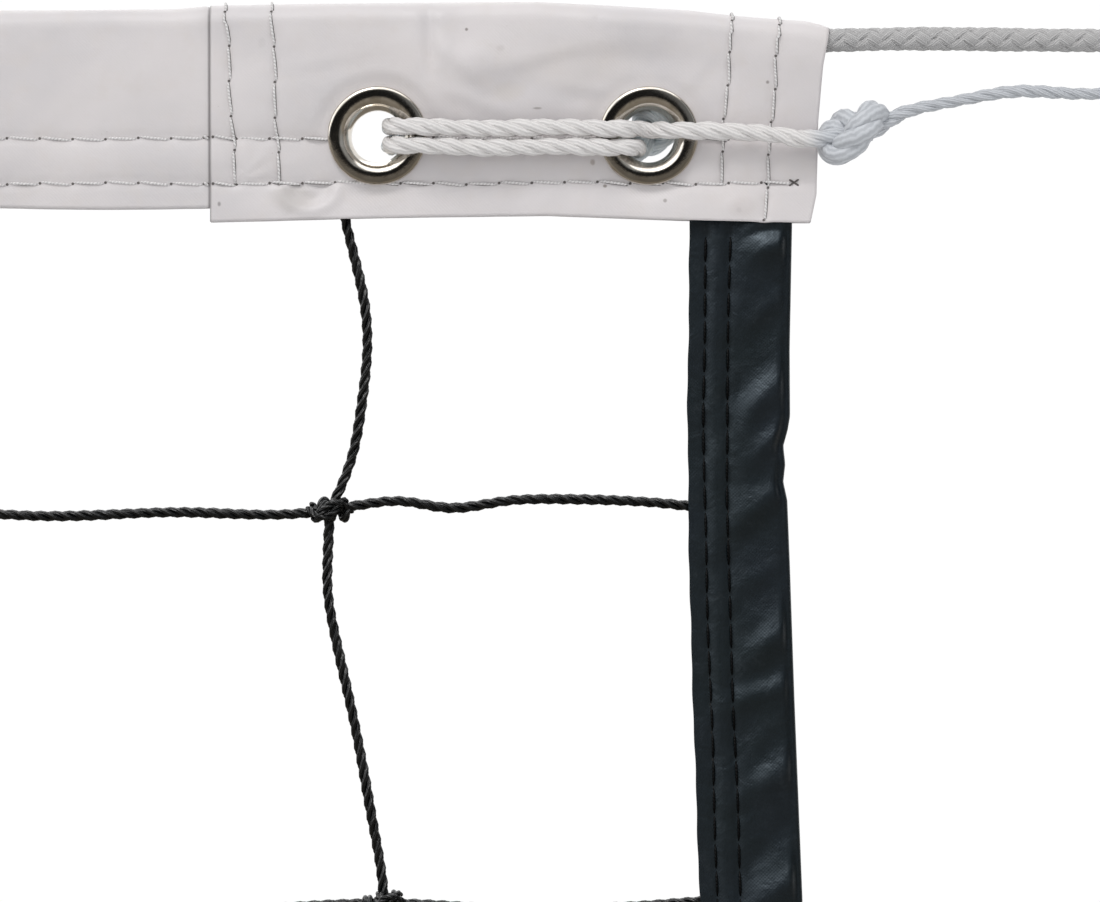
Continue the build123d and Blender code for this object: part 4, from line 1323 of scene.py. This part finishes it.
def column_points(c, panel):
    """Control points of column c through one panel."""
    rows = PANEL_ROWS[panel] if panel == 1 else [PANEL_ROWS[panel][0] - 1] + PANEL_ROWS[panel]
    x = COL_X[c]
    side = 1 if x > 0 else -1
    if c in (0, CELLS):
        top = TOP_Z if panel == 1 else ROW_Z[rows[0]]
        low = 28.0 if panel == 4 else ROW_Z[rows[-1]]
        zs = np.linspace(top, low, 12)
        return coords(side * (look_up(TAPE_INNER, zs) + EDGE_INSET), 0.0, zs)
    line = []
    if panel == 1 and c in NEXT_TO_EDGE:
        line += list(TOP_COLUMN * [side, 1, 1])
    elif panel == 1:
        slack = column_slack[9, c]
        line += [(x, 0.0, TOP_Z), (x + 0.3 * slack[0, 0], 0, 964.0),
                 (x + slack[0, 0], slack[0, 1], 940.0), (x + slack[1, 0], 0.5 * slack[1, 1], 914.0)]
    line.append(KNOTS[rows[0], c])
    for r, r_next in zip(rows[:-1], rows[1:]):
        a, b = KNOTS[r, c], KNOTS[r_next, c]
        if r == 0 and c in NEXT_TO_EDGE:
            line += list(SECOND_COLUMN * [side, 1, 1])
        else:
            line += [a + (b - a) / 3 + column_slack[r, c, 0],
                     a + 2 * (b - a) / 3 + column_slack[r, c, 1]]
        line.append(b)
    if panel == 4:
        line += [line[-1] * [1, 0.5, 0] + [0.8 * column_slack[8, c, 0, 0], 0, 70.0],
                 (x, 0, 30.0), (x, 0, LOW_Z)]
    return line


def fine_twine(part, points):
    path = spline(points, 0.9)
    laid(part, path, 1.4, TWINE_LAY, 7, frame_towards(path, FRONT),
         taper=1 + 0.03 * np.sin(length(path) / 5.0))


def round_twine(part, path):
    tube(part, path, 1.33, 6, frame_towards(path, FRONT), lanes=3.0, slot=1)


def net_knot(part, centre, fine, hand, tilt):
    """Netting knot: the column twine makes a tight coil round the row."""
    share = np.linspace(0, 1, 70 if fine else 19)
    turns = 2.7
    x = -4.5 + 9.0 * share
    angle = TAU * turns * share * hand + 1.1
    radius = (2.0 if fine else 2.2) * np.minimum(1, 0.42 + 5.0 * np.minimum(share, 1 - share))
    coil = coords(x, radius * np.cos(angle), radius * np.sin(angle) * 1.08 + tilt * x) + centre
    if not fine:
        tube(part, coil, 1.30, 5, slot=1, lanes=3.0)
        return
    laid(part, coil, 1.27, TWINE_LAY * 0.9, 7)
    # two locking strands across the coil
    for k in (-1, 1):
        lock = centre + np.array([
            (k * 5.4, 0, -0.4 * k), (k * 2.6, -2.9, 1.6 * k), (-k * 0.6, -3.5, 0.9 * k),
            (-k * 3.0, -2.2, -1.9 * k), (-k * 3.9, 0.0, -2.3 * k)])
        laid(part, spline(lock, 0.6), 1.0, 7.5, 6)


TWINES = [TWINE, PLAIN_TWINE]
for panel, rows in PANEL_ROWS.items():
    body = "net_%d" % panel
    part = Builder()
    for r in rows:
        ends = FINE_CELLS if r < FINE_ROWS else 0
        round_twine(part, spline(row_points(r, ends, CELLS - ends), 8.1))
        if ends:
            fine_twine(part, row_points(r, CELLS - ends, CELLS))
            fine_twine(part, row_points(r, 0, ends))
    if panel == 4:
        round_twine(part, coords(np.linspace(-4716, 4716, 400), 0.0, LOW_Z))
    name = "mesh_rows_%d" % panel
    add_riding(part, name + "_twine", TWINES, body, [name])

    part = Builder()
    for c in range(CELLS + 1):
        if panel <= 2 and 0 < min(c, CELLS - c) < FINE_CELLS:
            fine_twine(part, column_points(c, panel))
        else:
            round_twine(part, spline(column_points(c, panel), 7.5))
    name = "mesh_columns_%d" % panel
    if panel == 1:
        add_bending(part, name + "_twine", TWINES, ("band", "net_1"), (0, 0, 0.9665),
                    (0, 0, 0.9500), [name], "black_twine")
        part = Builder()
        xs = np.linspace(-4727, 4727, 480)
        round_twine(part, coords(xs, 0.0, 993.5 + 0.5 * np.sin(xs / 30)))
        for x in COL_X:
            round_twine(part, coords(x, 0.0, np.array([993.0, 989.0, 984.0])))
        add_riding(part, "top_twine_line", TWINES, "band", ["top_twine"])
    else:
        add_riding(part, name + "_twine", TWINES, body, [name])

    part = Builder()
    for r in rows:
        for c in range(1, CELLS):
            fine = r < FINE_ROWS and min(c, CELLS - c) <= FINE_CELLS
            hand = 1 if (r + c) % 2 else -1
            net_knot(part, KNOTS[r, c], fine, hand, tilt=0.05 * math.sin(c * 1.7 + r))
    name = "mesh_knots_%d" % panel
    add_riding(part, name + "_twine", TWINES, body, [name])


# ------------------------------------------------------------------ side tapes
TAPE_FRONT_NOISE, TAPE_BACK_NOISE = Noise(31, 14, 60, 16), Noise(32, 14, 60, 16)
TAPE_FINE_NOISE = Noise(33, 5, 14, 14)
TAPE_PITCH = 6.9
TAPE_SEAMS = (4.2, 10.0)  # from the inner edge
NOSE_R = 1.45  # radius of the folded outer edge
FINE_ABOVE = 775.0  # the tape is built finely above this height

# x, z, angle, length, width, height of ridges across the tape
TAPE_RIDGES = [
    (4740.0, 919.0, 0.75, 9.0, 3.6, 0.95), (4742.0, 907.5, 0.85, 7.0, 2.6, 0.75),
    (4739.5, 891.5, 0.70, 9.5, 3.6, 0.95), (4742.5, 857.5, 0.70, 9.0, 3.4, 0.95),
    (4739.5, 844.5, 0.35, 9.0, 3.0, 0.75), (4742.0, 823.5, 0.65, 10.0, 3.8, 1.0),
    (4744.0, 795.0, 0.70, 9.5, 3.6, 0.95), (4739.0, 874.0, 0.5, 8.0, 3.0, 0.35),
    (4741.0, 941.0, 0.6, 9.0, 3.2, 0.45)]
draw = np.random.default_rng(77)
for z in np.arange(770.0, 40.0, -21.0):
    TAPE_RIDGES.append((4741.0 + draw.normal() * 2.0, z + draw.normal() * 5.0,
                        0.65 + 0.2 * draw.normal(), 9.0, 3.5, 0.8 + 0.25 * draw.normal()))


def above_tape(z):
    """Share of the way into the tape's end under the headband."""
    return smooth01((z - 961.5) / 3.0)


def below_tape(z):
    """Share of the way into the tape's end under the lower tape."""
    return smooth01((28.5 - z) / 3.0)


def tape_depth(t, z, back):
    """Half thickness of the folded tape, t from its open inner edge."""
    depth = 1.85 + 0.10 * smooth01((t - 10) / 5.0) + 0.40 * smooth01((t - 11) / 8.0)
    depth = depth + 0.55 * bump(t, 7.1, 1.9)
    for seam in TAPE_SEAMS:
        depth = depth - groove(t - seam, z, TAPE_PITCH, line=(0.38, 0.8), shoulder=(0.16, 2.0),
                               hole=(0.22, 0.9, 1.1))
    # slanting ripples, stronger in the loose outer half
    noise = TAPE_BACK_NOISE if back else TAPE_FRONT_NOISE
    loose = 0.25 + 0.75 * smooth01((t - 9) / 6.0)
    a, b = t * 0.62 + z * 0.78, -t * 0.78 + z * 0.62
    depth = depth + loose * (0.30 * noise(a * 0.45, b * 1.5) + 0.07 * TAPE_FINE_NOISE(a * 0.5, b))
    x = look_up(TAPE_INNER, z) + t
    for ridge_x, ridge_z, angle, ridge_length, width, height in TAPE_RIDGES:
        along, across = turned(x, z, ridge_x, ridge_z, angle)
        strength = 1.35 * height * (0.6 if back else 1.0)
        depth = depth + strength * spot(across, along, 0, 0, width, ridge_length)
    if not back:
        # the fold gapes a little just under the headband
        depth = depth + 1.15 * spot(t, z - 0.22 * (t - 20), 20.5, 956.0, 4.6, 3.0)
        depth = depth - 0.8 * spot(t, z + 0.05 * (t - 20) ** 2, 19.5, 960.6, 5.0, 1.1)
    depth = ease(depth, np.minimum(depth, 1.9), above_tape(z))
    depth = ease(depth, np.minimum(depth, 1.35), below_tape(z))
    return np.maximum(depth, 1.05)


def tape_grid(heights):
    """Outer surface of the folded side tape and its cloth coordinates."""
    rows, lays = [], []
    share = np.linspace(0, 1, 34)
    angle = np.linspace(0, math.pi, 9 + 2)[1:-1]
    for z in heights:
        inner_x, outer_x = float(look_up(TAPE_INNER, z)), float(look_up(TAPE_OUTER, z))
        inner_x = inner_x + 0.07 * math.sin(z / 1.9) + 0.09 * math.sin(z / 5.9)
        width = outer_x - inner_x
        nose_r = NOSE_R - 0.10 * above_tape(z) - 0.30 * below_tape(z)
        t = (width - nose_r) * share
        rounding = smooth01((t - (width - nose_r - 1.3)) / 1.3)
        front, back = (ease(tape_depth(t, z, is_back), nose_r, rounding)
                       for is_back in (False, True))
        rows.append(np.concatenate([
            coords(inner_x + t, -front, z),
            coords(outer_x - nose_r + nose_r * np.sin(angle), -nose_r * np.cos(angle), z),
            coords(inner_x + t, back, z)[::-1]]))
        lays.append(np.concatenate([coords(t, z), coords(width - nose_r + nose_r * angle, z),
                                    coords(2 * width + 2.3 - t, z)[::-1]]))
    return np.stack(rows), np.stack(lays)


def tape_heights(high, low):
    """Heights from high down to low: 1 mm steps near the top corner, 3 mm steps below."""
    runs = []
    if high > FINE_ABOVE:
        end = max(low, FINE_ABOVE)
        runs.append(np.linspace(high, end, max(2, int(round((high - end) / 1.0)) + 1)))
    if low < FINE_ABOVE:
        start = min(high, FINE_ABOVE)
        coarse = np.linspace(start, low, max(2, int(round((start - low) / 3.0)) + 1))
        runs.append(coarse[1 if runs else 0 :])
    return np.concatenate(runs)


BODIES = ["band", "net_1", "net_2", "net_3", "net_4"]
TAPE_CUTS = [991.0] + [(a + b) / 2 for a, b in zip(FOLD_Z[:3], FOLD_Z[1:4])] + [24.2]
# a pair of heights for each tape piece, passed on to add_bending
TAPE_BENDS = [(966.0, 951.0)] + [(z + 12, z - 12) for z in FOLD_Z[1:4]]


def add_tape_part(part, name, materials, n, nodes, slot, **options):
    start, end = TAPE_BENDS[n]
    add_bending(part, name, materials, BODIES[n : n + 2], metres(0, 0, start),
                metres(0, 0, end), nodes, slot, **options)


for side, sign in SIDES:
    for n in range(4):
        before, after = int(n > 0), int(n < 3)
        grid, lay = tape_grid(padded(tape_heights(*TAPE_CUTS[n : n + 2]), before, after))
        part = Builder()
        sheet(part, grid, 0.75, lay, trim=(before, after))
        node = "side_tape_%s_%d" % (side, n + 1)
        nodes = (["side_tape_tabs"] if n == 0 else []) + [node]
        add_tape_part(part, node + "_cloth", [BLACK_VINYL], n, nodes, "black_vinyl",
                      side=sign, normals=True)
for n in range(4):
    part = Builder()
    high = TAPE_CUTS[n] if n else 962.5
    top_hole = int(math.floor(high / TAPE_PITCH)) + (1 if n else 0)
    low_hole = int(math.ceil(TAPE_CUTS[n + 1] / TAPE_PITCH))
    zs = np.arange(top_hole, low_hole - 1, -1) * TAPE_PITCH
    fine = zs[0] > FINE_ABOVE
    for side, sign in SIDES:
        for back in (False, True):
            for k, seam in enumerate(TAPE_SEAMS):
                t = seam + (0.25 * np.sin(zs / 31.0 + k) + 0.12 * np.sin(zs / 7.7 + 2 * k))
                y = tape_depth(t, zs, back)
                points = coords(sign * (look_up(TAPE_INNER, zs) + t), y if back else -y, zs)
                normals = face_normals(len(zs), back)
                stitches(part, points, normals, radius=0.34, rings=6 if fine else 4,
                         sides=6 if fine else 4, lift=0.50, sink=0.05, gap=0.05)
                needle_holes(part, points, normals, radius=0.50, sides=8 if fine else 5)
    node = "side_stitching_%d" % (n + 1)
    add_tape_part(part, node + "_thread", [BLACK_THREAD, HOLE_SHADE_ON_BLACK], n, [node], "black_thread")


# ------------------------------------------------------------------ stitches of the headband and sleeves
def seam_points(x, z, sleeve, back):
    """Places on the cloth below the top fold, for x on the right-hand side."""
    return coords(x, half_depth(x, z, sleeve, back) * (1.0 if back else -1.0), z)


part = Builder()
last_hole = int((SLEEVE_X - 1.5) // SEAM_PITCH)
xs = np.arange(-last_hole, last_hole + 1) * SEAM_PITCH
xs = np.concatenate([[-(SLEEVE_X - 0.5)], xs, [SLEEVE_X - 0.5]])
for k in (0, 1):
    zs = seam_z(k, np.abs(xs)) + 0.18 * np.sin(xs / 23.0)
    for back in (False, True):
        seam = seam_points(np.abs(xs), zs, False, back)
        seam[:, 0] = xs
        for chosen, fine in ((np.abs(xs) <= BAND_SPLIT + 8, False), (xs > BAND_SPLIT, True),
                             (xs < -BAND_SPLIT, True)):
            points = seam[chosen]
            normals = face_normals(len(points), back)
            stitches(part, points, normals, radius=0.36, rings=7 if fine else 4,
                     sides=6 if fine else 4, lift=0.40, sink=-0.06, gap=0.05, lean=0.7)
            if fine:
                shade_line(part, points, normals, right=0.1, down=0.32, lift=0.14, lean=0.7)
            needle_holes(part, points + normals * 0.14, normals, radius=0.36,
                         sides=9 if fine else 5)
add_riding(part, "band_stitching_thread", [WHITE_THREAD, HOLE_SHADE_ON_WHITE], "band",
           ["band_stitching"])


def sleeve_seam(part, k, sign):
    """Level seam k on both faces of a sleeve."""
    first_hole = int(math.ceil((SLEEVE_X + 2.2) / SEAM_PITCH))
    last_hole = int(math.floor(4750.5 / SEAM_PITCH))
    holes = np.arange(first_hole, last_hole + 1) * SEAM_PITCH
    xs = np.concatenate([[SLEEVE_X + 0.7], holes])
    zs = seam_z(k, xs)
    for back in (False, True):
        points = seam_points(xs, zs, True, back)
        clear = clear_of(xs, zs, EYELETS, 12.9)
        # a run goes on under the rim to the next hole
        beside = np.append(clear[1:], False) | np.append(False, clear[:-1])
        clear = clear | (clear_of(xs, zs, EYELETS, 7.6) & beside)
        for run in runs_of(clear):
            run_points = points[run] * [sign, 1, 1]
            normals = face_normals(len(run_points), back)
            stitches(part, run_points, normals, radius=0.36, rings=8, sides=6, lift=0.40,
                     sink=-0.08, gap=0.05, lean=0.7)
            shade_line(part, run_points + normals * 0.04, normals, right=0.1, down=0.32,
                       lift=0.14, lean=0.7)
            needle_holes(part, run_points + normals * 0.16, normals, radius=0.36, sides=10)
        if k == 1:
            # back tack at the outer end of the lower seam
            end = points[-1]
            for dx, dz in ((-1.0, 0.7), (-1.0, -0.7), (1.0, 0.8), (1.0, -0.8)):
                tack = np.array([end, end + [dx * 1.5, 0, dz * 1.3]]) * [sign, 1, 1]
                stitches(part, tack, face_normals(2, back), radius=0.26, rings=5, sides=6,
                         lift=0.35, sink=0.05, slot=1)


def upright_seam(part, k, sign):
    """Upright seam k, up the front of a sleeve, over the top fold and down the back."""
    top_z = float(top_line(upright_x(k, 1012.0)))
    fold_z = top_z - FOLD_R
    zs = np.arange(962.9 if k == 3 else 971.8, 1012.0, 0.25)
    zs = zs[zs <= fold_z]
    angle = np.linspace(0, math.pi, 60)[1:-1]
    line = fold_outline(upright_x(k, zs), zs, upright_x(k, top_z), angle, FOLD_R, fold_z,
                        sleeve=True)
    along = length(line)
    line_normals = unit(np.cross(np.array([1.0, 0, 0]), tangents(line)))
    at = np.linspace(0, along[-1], int(along[-1] // UPRIGHT_PITCH) + 1)
    points = resample(at, along, line)
    normals = resample(at, along, line_normals)
    points[:, 0] += 0.10 * np.sin(np.arange(len(points)) * 1.9)
    lean = -0.55 * sign
    for run in runs_of(clear_of(points[:, 0], points[:, 2], EYELETS, 12.9)):
        run_points, run_normals = points[run] * [sign, 1, 1], normals[run] * [sign, 1, 1]
        course = (at[run], along, line * [sign, 1, 1], line_normals * [sign, 1, 1])
        stitches(part, run_points, run_normals, radius=0.35, rings=12, sides=6, lift=0.30,
                 sink=-0.10, gap=0.035, lean=lean, course=course)
        shade_line(part, run_points, run_normals, right=0.33 * sign, down=0.0, lift=0.12,
                   gap=0.05, lean=lean, course=course)
        needle_holes(part, run_points + run_normals * 0.16, run_normals, radius=0.34, sides=9)


part = Builder()
for side, sign in SIDES:
    for k in (0, 1):
        sleeve_seam(part, k, sign)
    for k in range(4):
        upright_seam(part, k, sign)
add_riding(part, "sleeve_stitching_thread", [WHITE_THREAD, HOLE_SHADE_ON_WHITE], "band",
           ["sleeve_stitching"])


# ------------------------------------------------------------------ lower tape
LOWER_FRONT_NOISE, LOWER_BACK_NOISE = Noise(41, 16, 70), Noise(42, 16, 70)
lower_tape_high = box_mm("lower_tape")[1]
LOWER_TOP, LOWER_END = float(lower_tape_high[2]), float(lower_tape_high[0])
LOWER_SPLIT = 4640  # the middle piece of the lower tape ends here
LOWER_ROPE_Z = 3.0
LOWER_FOLD_R = 3.0
LOWER_SEAMS = (21.0, 15.5)


def lower_depth(x, z, back):
    """Half thickness of the folded lower tape."""
    depth = 2.35 + 0.75 * smooth01((9.0 - z) / 6.0)
    for seam in LOWER_SEAMS:
        depth = depth - groove(z - (seam + 0.2 * np.sin(x / 13.0)), x, TAPE_PITCH,
                               line=(0.33, 0.8), shoulder=(0.0, 1.0), hole=(0.16, 0.9, 1.1))
    noise = LOWER_BACK_NOISE if back else LOWER_FRONT_NOISE
    depth = depth + 0.28 * noise(x, z * 2.5) * smooth01((24.0 - z) / 6.0)
    radius = np.hypot(np.abs(x) - LOWER_EYE[0], z - LOWER_EYE[1])
    return ease(depth, 2.47, smooth01((12.5 - radius) / 3.5))


def lower_grid(stations):
    """Outer surface of the lower tape, folded round its rope, and its cloth coordinates."""
    rows, lays = [], []
    share = np.linspace(0, 1, 22)
    angle = np.linspace(0, math.pi, 9 + 2)[1:-1]
    for x in stations:
        top = LOWER_TOP + 0.35 * math.sin(x / 41.0) + 0.2 * math.sin(x / 9.0)
        z = top + (LOWER_ROPE_Z - top) * share
        rounding = smooth01((9.0 - z) / 6.0)
        front, back = (ease(lower_depth(x, z, is_back), LOWER_FOLD_R, rounding)
                       for is_back in (False, True))
        rows.append(np.concatenate([
            coords(x, -front, z),
            coords(x, -LOWER_FOLD_R * np.cos(angle), LOWER_ROPE_Z - LOWER_FOLD_R * np.sin(angle)),
            coords(x, back, z)[::-1]]))
        back_lay = coords(x, LOWER_ROPE_Z - LOWER_FOLD_R * math.pi - (z - LOWER_ROPE_Z))
        lays.append(np.concatenate([coords(x, z), coords(x, LOWER_ROPE_Z - LOWER_FOLD_R * angle),
                                    back_lay[::-1]]))
    return np.stack(rows), np.stack(lays)


# name, x at both ends, number of stations, extra stations before and after
LOWER_PIECES = (
    ("lower_tape_right", LOWER_END, LOWER_SPLIT, 98, 0, 1),
    ("lower_tape_middle", LOWER_SPLIT, -LOWER_SPLIT, 830, 1, 1),
    ("lower_tape_left", -LOWER_SPLIT, -LOWER_END, 98, 1, 0))
for name, start, end, count, before, after in LOWER_PIECES:
    part = Builder()
    grid, lay = lower_grid(padded(np.linspace(start, end, count), before, after))
    sheet(part, grid, 0.7, lay, eyelet_cut(grid, [LOWER_EYE], 6.0), trim=(before, after))
    add_riding(part, name, [BLACK_VINYL], "net_4", ["lower_tape"], normals=True)

part = Builder()
last_hole = int(4744 // TAPE_PITCH)
xs = np.arange(-last_hole, last_hole + 1) * TAPE_PITCH
for seam in LOWER_SEAMS:
    zs = seam + 0.2 * np.sin(xs / 13.0)
    for back in (False, True):
        points = coords(xs, lower_depth(xs, zs, back) * (1 if back else -1), zs)
        for run in runs_of(clear_of(xs, zs, [LOWER_EYE], 9.2)):
            normals = face_normals(len(points[run]), back)
            stitches(part, points[run], normals, radius=0.34, rings=4, sides=4, lift=0.40,
                     sink=0.15)
            needle_holes(part, points[run], normals, radius=0.46, sides=5)
add_riding(part, "lower_stitching_thread", [BLACK_THREAD, HOLE_SHADE_ON_BLACK], "net_4",
           ["lower_stitching"])


# ------------------------------------------------------------------ lower rope
LOWER_HINGE = joint_mm("lower_rope_right_swing")
part = Builder()
path = coords(np.linspace(-4686, 4686, 160), 0.0, LOWER_ROPE_Z)
tube(part, path, 1.9, 8, frame_towards(path, BACK))
add_riding(part, "lower_rope_inside", [BLACK_BRAID], "lower_line", ["lower_rope"])

tail_end_x = float(box_mm("lower_tail_right")[1][0]) - 0.5
tail_path = spline([
    (4684, 0, LOWER_ROPE_Z), (4720, 0, LOWER_ROPE_Z), (4760, 0, LOWER_ROPE_Z), LOWER_HINGE,
    (4850, 0.2, LOWER_ROPE_Z), (4900, -0.5, LOWER_ROPE_Z - 0.2), (4950, 0.4, LOWER_ROPE_Z),
    (tail_end_x, 0, LOWER_ROPE_Z)], 0.9)
for side, sign in SIDES:
    part = Builder()
    braid(part, tail_path, 2.0, pitch=15.0, count=6, sides=6)
    # smooth collar near the end
    tube(part, tail_path[-1] - [[7.5, 0, 0], [4.5, 0, 0], [1.0, 0, 0]], 2.15, 12, slot=1)
    add_bending(part, "lower_tail_%s_braid" % side, [BLACK_BRAID, BLACK_THREAD],
                ("lower_line", "lower_end_" + side),
                metres(sign * (LOWER_HINGE[0] - 13), 0, LOWER_HINGE[2]),
                metres(sign * (LOWER_HINGE[0] + 14), 0, LOWER_HINGE[2]),
                ["lower_tail_" + side], "black_rope", sign)


# ------------------------------------------------------------------ studio: white backdrop, pale floor, soft light
scene = bpy.context.scene


def studio_world():
    world = bpy.data.worlds.new("studio")
    scene.world = world
    world.use_nodes = True
    graph = Graph(world.node_tree)

    def background(colour, strength):
        node = graph.node("ShaderNodeBackground")
        graph.put(node.inputs[0], colour)
        node.inputs[1].default_value = strength
        return node.outputs[0]

    def mix_shader(share, first, second):
        node = graph.node("ShaderNodeMixShader")
        for socket, value in zip(node.inputs, (share, first, second)):
            graph.put(socket, value)
        return node.outputs[0]

    # what shiny surfaces see: bright overhead and left, bright behind, warm floor
    x, y, z = graph.separate(graph.node("ShaderNodeTexCoord").outputs["Generated"])
    leaning = graph.add(z, plus=graph.mul(x, by=-0.45))
    overhead = graph.ramp(leaning, start=0.38, stop=0.62, low=0.0, high=1.9)
    below = graph.ramp(z, start=-0.40, stop=-0.85, low=0.0, high=0.55)
    behind = graph.ramp(y, start=0.15, stop=0.6)
    base = graph.add(graph.add(overhead, behind), plus=0.02)
    floor_tint = (1.0, 0.86, 0.66)
    colour = graph.node("ShaderNodeCombineXYZ")
    for socket, tint in zip(colour.inputs, floor_tint):
        graph.put(socket, graph.add(base, plus=graph.mul(below, by=tint)))
    white = background((1, 1, 1, 1), strength=1.02)
    ambient = background((0.97, 0.985, 1.0, 1), strength=0.62)
    reflected = background(colour.outputs[0], strength=1.0)
    rays = graph.node("ShaderNodeLightPath").outputs
    lighting = mix_shader(rays["Is Glossy Ray"], ambient, reflected)
    output = graph.node("ShaderNodeOutputWorld")
    graph.put(output.inputs[0], mix_shader(rays["Is Camera Ray"], lighting, white))


def sun(name, direction, power, angle, colour):
    light = bpy.data.lights.new(name, "SUN")
    light.energy, light.angle, light.color = power, math.radians(angle), colour
    thing = bpy.data.objects.new(name, light)
    bpy.context.collection.objects.link(thing)
    thing.rotation_euler = Vector(direction).to_track_quat("-Z", "Y").to_euler()
    return thing


def floor_material():
    """Pale floor, warm in reflections, that fades into the white backdrop far behind."""
    mat = Surface("floor_pale")
    cloud = mat.noise(mat.place(), scale=1 / 700.0, detail=4.0, rough=0.55)
    glossy = mat.node("ShaderNodeLightPath").outputs["Is Glossy Ray"]
    far = mat.ramp(mat.separate(mat.place())[1], start=3500.0, stop=8500.0)
    pale = mat.mix(cloud, (0.80, 0.80, 0.80), (0.84, 0.84, 0.835))
    return mat.finish(
        Emission_Color=mat.mix(far, (0, 0, 0), (1.02, 1.02, 1.02)), Emission_Strength=1.0,
        Base_Color=mat.mix(glossy, pale, (0.20, 0.175, 0.14)), Roughness=0.75)


studio_world()
lights = [
    sun("key", direction=(0.35, 0.72, -0.95), power=1.25, angle=22.0, colour=(1.0, 0.99, 0.975)),
    sun("fill", direction=(-0.55, 0.75, -0.25), power=0.25, angle=60.0, colour=(0.95, 0.98, 1.0))]

# floor, in metres
HALF_X, NEAR_Y, FAR_Y, FLOOR_Z = 60.0, -45.0, 9.0, -0.004
floor_look = floor_material()
floor_mesh = bpy.data.meshes.new("floor")
floor_mesh.from_pydata(
    [(-HALF_X, NEAR_Y, FLOOR_Z), (HALF_X, NEAR_Y, FLOOR_Z), (HALF_X, FAR_Y, FLOOR_Z),
     (-HALF_X, FAR_Y, FLOOR_Z)], [], [(0, 1, 2, 3)])
floor_mesh.materials.append(floor_look)
floor = bpy.data.objects.new("floor", floor_mesh)
bpy.context.collection.objects.link(floor)

# camera, facing the right-hand top corner
VIEW_WIDTH = 0.275  # metres across the picture at the net
camera = bpy.data.cameras.new("camera")
camera.lens, camera.sensor_width = 200.0, 36.0
camera.clip_start, camera.clip_end = 0.05, 200.0
distance = VIEW_WIDTH * camera.lens / camera.sensor_width
camera_object = bpy.data.objects.new("camera", camera)
bpy.context.collection.objects.link(camera_object)
camera_object.location = (4.68675, -distance - 0.003, 0.90525)
camera_object.rotation_euler = (math.radians(90), 0, 0)
scene.camera = camera_object
scene.view_settings.view_transform = "Standard"
